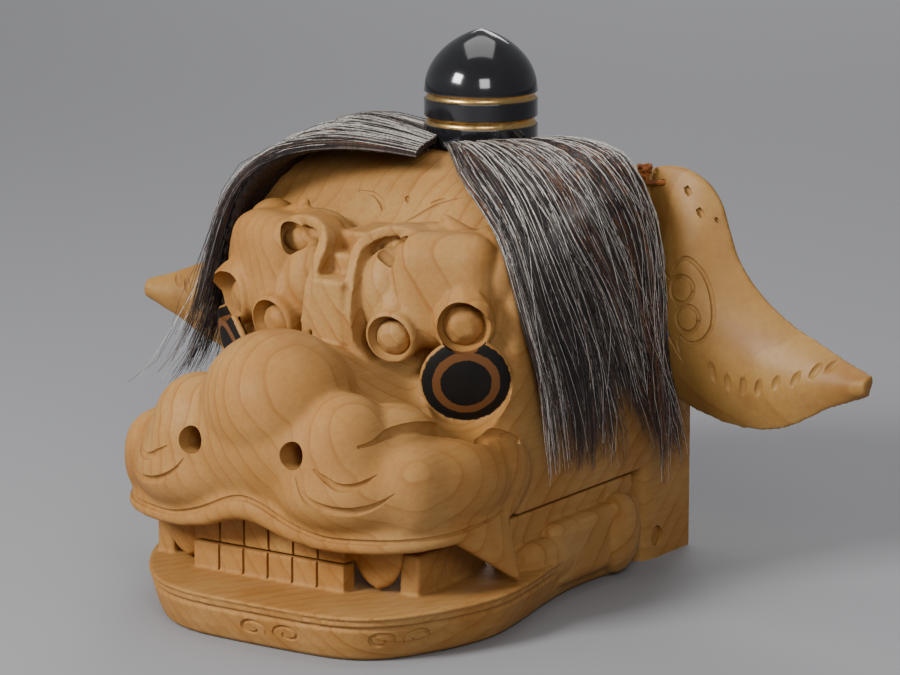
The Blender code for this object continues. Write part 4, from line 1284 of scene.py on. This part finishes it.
def growMane(side, fall, seed):
    dice = random.Random(seed)
    net = combed(fall)
    clumps = [{
        "s": (i + dice.uniform(0.2, 0.8)) / maneLook["clumps"], "pull": dice.uniform(0.3, 1.0),
        "sway": dice.gauss(0, 3.4), "beat": dice.uniform(0.6, 1.6), "phase": dice.uniform(0, math.tau),
        "rise": dice.uniform(-1.0, 3.0), "length": dice.uniform(0.74, 1.0),
    } for i in range(maneLook["clumps"])]
    locks = {"dark": [], "brown": [], "rust": [], "grey": [], "silver": []}
    count = maneLook["strands"][side] if fine else maneLook["strands"][side] // 4
    for i in range(count):
        clump = dice.choice(clumps)
        s0 = clump["s"] + dice.gauss(0, maneLook["clumpSpread"])
        lift = dice.uniform(-2.5, 3.5)
        length = clump["length"] * dice.uniform(0.86, 1.0) if dice.random() < 0.8 else dice.uniform(0.5, 0.95)
        shade = shadeOf(dice, side, s0, lift)
        locks[shade].append(hairOf(net, dice, clump, s0, lift, length))
    for i in range(maneLook["strays"]):
        clump = dict(dice.choice(clumps), sway=dice.gauss(0, 7.0))
        shade = dice.choice(("silver", "silver", "grey", "dark"))
        locks[shade].append(hairOf(net, dice, clump, clump["s"] + dice.gauss(0, 0.1), dice.uniform(2, 6),
                                   dice.uniform(0.6, 1.0), loose=4.0))
    return net, locks


def threadSection():
    # the three-sided section that every hair is drawn with
    curve = bpy.data.curves.new("thread", "CURVE")
    line = curve.splines.new("POLY")
    line.points.add(2)
    for i, spot in enumerate(line.points):
        spot.co = (math.cos(math.tau * i / 3) / 1000, math.sin(math.tau * i / 3) / 1000, 0, 1)
    line.use_cyclic_u = True
    return putIn("thread", curve)


def layHair(name, hairs, section, material):
    curve = bpy.data.curves.new(name, "CURVE")
    curve.dimensions = "3D"
    curve.bevel_mode = "OBJECT"
    curve.bevel_object = section
    curve.use_fill_caps = True
    root, tip, last = maneLook["root"], maneLook["tip"], maneLook["knots"] - 1
    taper = [root + (tip - root) * (i / last) ** 1.6 for i in range(last + 1)]
    for points in hairs:
        line = curve.splines.new("POLY")
        line.points.add(len(points) - 1)
        line.points.foreach_set("co", [n for p in points for n in (*drawn(*p), 1.0)])
        line.points.foreach_set("radius", taper)
    form = bmesh.new()
    takeCurve(form, putIn(name, curve))
    bmesh.ops.remove_doubles(form, verts=form.verts, dist=1e-6)
    hair = makeThing(name, form)
    finishWith(hair, material, 80)
    return hair


def hairMaterial(name, colour, dye=0.0):
    # hairs differ a little, and the tips are dyed towards rust
    material, shader = newMaterial(name)
    places = objectPlaces(material, (1.0, 1.0, 0.12))
    uneven = noiseOf(material, places, 700.0, 2.0, 0.6)
    dark = tuple(c * 0.55 for c in colour)
    light = tuple(min(1.0, c * 1.5) for c in colour)
    tint = mixed(material, greys(material, uneven, (0.3, 0.0), (0.7, 1.0)), dark, light)
    if dye:
        split = addNode(material, "ShaderNodeSeparateXYZ")
        link(material, objectPlaces(material), split.inputs["Vector"])
        low = addNode(material, "ShaderNodeMapRange")
        for socket, value in (("From Min", 0.125), ("From Max", 0.055), ("To Min", 0.0), ("To Max", dye)):
            low.inputs[socket].default_value = value
        link(material, split.outputs["Z"], low.inputs["Value"])
        patches = greys(material, noiseOf(material, objectPlaces(material), 60.0, 2.0), (0.4, 0.3), (0.6, 1.0))
        dyed = math2(material, "MULTIPLY", low.outputs["Result"], patches)
        tint = mixed(material, dyed, tint, maneLook["rust"])
    link(material, tint, shader.inputs["Base Color"])
    shader.inputs["Roughness"].default_value = 0.42
    shader.inputs["IOR"].default_value = 1.5
    return material


def underHair(name, net, material):
    # the mass of hair beneath the loose ones
    clay = bmesh.new()
    for i in range(12):
        s = 0.10 + 0.82 * i / 11
        for k in range(27):
            point = onNet(net, s, k / 32)
            out = outwardAt(point)
            size = between([1.2, 3.0, 3.4, 3.4, 3.4, 3.2, 2.8, 2.0, 0.8], k / 26)
            wide = size * between([1.3, 2.2, 2.6, 2.6, 2.4, 2.0, 1.2], k / 26)
            stamp(clay, ballPattern if fine else beadPattern, point - out * 3.0,
                  (size + (wide - size) * 0.5 * out.z, wide, size + (wide - size) * 0.5 * abs(out.x)))
    under = thinOut(fuse(makeThing(name, clay), 1.5 if fine else 3.0, 4), 14000)
    finishWith(under, material, 80)
    return under


def streakMaterial(name):
    # dark hair seen as a mass: fine streaks that follow the fall, the darkest of them painted shade between the hairs
    material, shader = newMaterial(name)
    streaks = noiseOf(material, objectPlaces(material, (1.0, 1.0, 0.06)), 900.0, 3.0, 0.6)
    shadeBetweenHairs = tuple(c * 0.35 for c in maneLook["dark"])
    tint = ramp(material, streaks, [(0.32, shadeBetweenHairs), (0.55, maneLook["dark"]), (0.72, maneLook["brown"])])
    link(material, tint, shader.inputs["Base Color"])
    shader.inputs["Roughness"].default_value = 0.6
    bump(material, shader, [(streaks, 0.6, 0.0012)])
    return material


hairMaterials = {shade: hairMaterial(shade + "Horsehair", maneLook[shade], dye)
                 for shade, dye in maneLook["dye"].items()}
streaked = streakMaterial("horsehairMass")
thread = threadSection()
for side, fall, seed in (("left", leftFall, 11), ("right", rightFall, 23)):
    net, locks = growMane(side, fall, seed)
    under = underHair("mane_" + side + "_mass", net, streaked)
    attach(under, "head")
    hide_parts("mane_" + side)
    total = 0
    for shade, hairs in locks.items():
        hair = layHair("mane_" + side + "_" + shade + "_hair", hairs, thread, hairMaterials[shade])
        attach(hair, "head")
        total += triangles(hair)
    print("mane grown,", total, "triangles over a mass of", triangles(under))
discard(thread)


# Ear ties: a twisted cord in a ring, knotted at the top of the ear's root

tieLook = {
    "plies": 3,
    "plyRadius": 0.82,
    "plyOffset": 0.84,
    "twists": 13,
    "knot": (105, -20, 245),
    "knotSize": 3.6,
    "wound": 1.25,      # radii of the cord in the knot, at its ends, and where it leads down
    "loose": 1.0,
    "lead": 1.3,
    "orange": (0.50, 0.165, 0.025),
    "shadow": (0.16, 0.042, 0.008),
}


def twistedRing(side, clay):
    centre = Vector((side * 107, *earLook["root"]))
    steps = 160
    for ply in range(tieLook["plies"]):
        points = []
        for i in range(steps):
            angle = math.tau * i / steps
            twist = tieLook["twists"] * angle + math.tau * ply / tieLook["plies"]
            reach = earLook["tieRing"] + tieLook["plyOffset"] * math.cos(twist)
            points.append(centre + Vector((reach * math.cos(angle), reach * math.sin(angle),
                                           tieLook["plyOffset"] * math.sin(twist))))
        layBar(clay, points, tieLook["plyRadius"], roundness=1, closed=True)


def knot(side, clay):
    # two turns of cord wound over each other, with two short ends
    middle = Vector((side * tieLook["knot"][0], *tieLook["knot"][1:]))
    size = tieLook["knotSize"]
    turns = []
    for i in range(70):
        angle = math.tau * 3 * i / 69
        turns.append(middle + Vector((size * math.cos(angle) * (1 - 0.25 * math.sin(angle / 3)),
                                      size * 0.9 * math.sin(angle), size * 0.8 * math.sin(2 * angle / 3))))
    layBar(clay, turns, tieLook["wound"], roundness=1)
    for lean in (-1, 1):
        end = [middle + Vector((side * x, lean * f, z))
               for x, f, z in ((0, 0, 0), (1.5, 3.0, 1.5), (2.5, 5.0, 0.6))]
        layBar(clay, smoothPath(end, 1.0), tieLook["loose"], roundness=1)
    down = [middle, middle + Vector((side * 3, 1.5, -4)), Vector((side * 109, earLook["root"][0] + 12, 239))]
    layBar(clay, smoothPath(down, 1.5), tieLook["lead"], roundness=1)


def cordMaterial():
    material, shader = newMaterial("orangeCord")
    places = objectPlaces(material)
    fuzz = noiseOf(material, places, 1500.0, 3.0, 0.7)
    worn = noiseOf(material, places, 170.0, 3.0)
    shadow = tieLook["shadow"]
    tint = mixed(material, greys(material, worn, (0.35, 0.0), (0.7, 1.0)), shadow, tieLook["orange"])
    tint = mixed(material, greys(material, fuzz, (0.35, 0.3), (0.6, 0.0)), tint, shadow)
    link(material, tint, shader.inputs["Base Color"])
    shader.inputs["Roughness"].default_value = 0.85
    bump(material, shader, [(fuzz, 0.5, 0.0004)])
    return material


cord = cordMaterial()
for side, word in ((1, "left"), (-1, "right")):
    clay = bmesh.new()
    twistedRing(side, clay)
    knot(side, clay)
    bmesh.ops.remove_doubles(clay, verts=clay.verts, dist=1e-6)
    tie = makeThing("ear_tie_" + word + "_cord", clay)
    finishWith(tie, cord, 60)
    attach(tie, "head")
    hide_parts("ear_tie_" + word)
    print("ear tied,", triangles(tie), "triangles")


# Camera, lights and floor

photoView = {
    "place": Vector((1.34171, finialAxis.y - 2.0231, 0.640)),
    "azimuth": 34.0,
    "pitch": 11.8,
    "lens": 160.0,
    "sensor": 36.0,
}


def setCamera(view):
    data = bpy.data.cameras.new("camera")
    data.lens = view["lens"]
    data.sensor_width = view["sensor"]
    camera = putIn("camera", data)
    camera.location = view["place"]
    camera.rotation_euler = (math.radians(90 - view["pitch"]), 0, math.radians(view["azimuth"]))
    bpy.context.scene.camera = camera


lamps = {
    "keySoftbox": {"place": (-0.75, -1.9, 1.4), "aim": (0, 0, 0.14), "size": 0.7, "watts": 76},
    "sideSoftbox": {"place": (1.5, -1.6, 1.2), "aim": (0, 0, 0.14), "size": 0.8, "watts": 20},
    "topSoftbox": {"place": (-0.2, 0.3, 1.9), "aim": (0, 0, 0.14), "size": 1.3, "watts": 12},
    "backSoftbox": {"place": (-1.6, 3.4, 2.4), "aim": (-1.6, 3.4, 0), "size": 2.0, "watts": 55},
}


def hangLamps():
    for name, lamp in lamps.items():
        data = bpy.data.lights.new(name, "AREA")
        data.size = lamp["size"]
        data.energy = lamp["watts"]
        light = putIn(name, data)
        light.location = lamp["place"]
        aim = Vector(lamp["aim"]) - light.location
        light.rotation_euler = aim.to_track_quat("-Z", "Y").to_euler()
    world = bpy.data.worlds.new("studio")
    world.use_nodes = True
    sky = world.node_tree.nodes["Background"]
    sky.inputs["Color"].default_value = (0.53, 0.535, 0.56, 1)
    sky.inputs["Strength"].default_value = 0.42
    bpy.context.scene.world = world


def layFloor():
    form = bmesh.new()
    bmesh.ops.create_circle(form, cap_ends=True, segments=64, radius=9.0)
    floor = makeThing("floor", form)
    material, shader = newMaterial("paleFloor")
    shader.inputs["Base Color"].default_value = (0.27, 0.27, 0.28, 1)
    shader.inputs["Roughness"].default_value = 0.7
    floor.data.materials.append(material)


setCamera(photoView)
hangLamps()
layFloor()
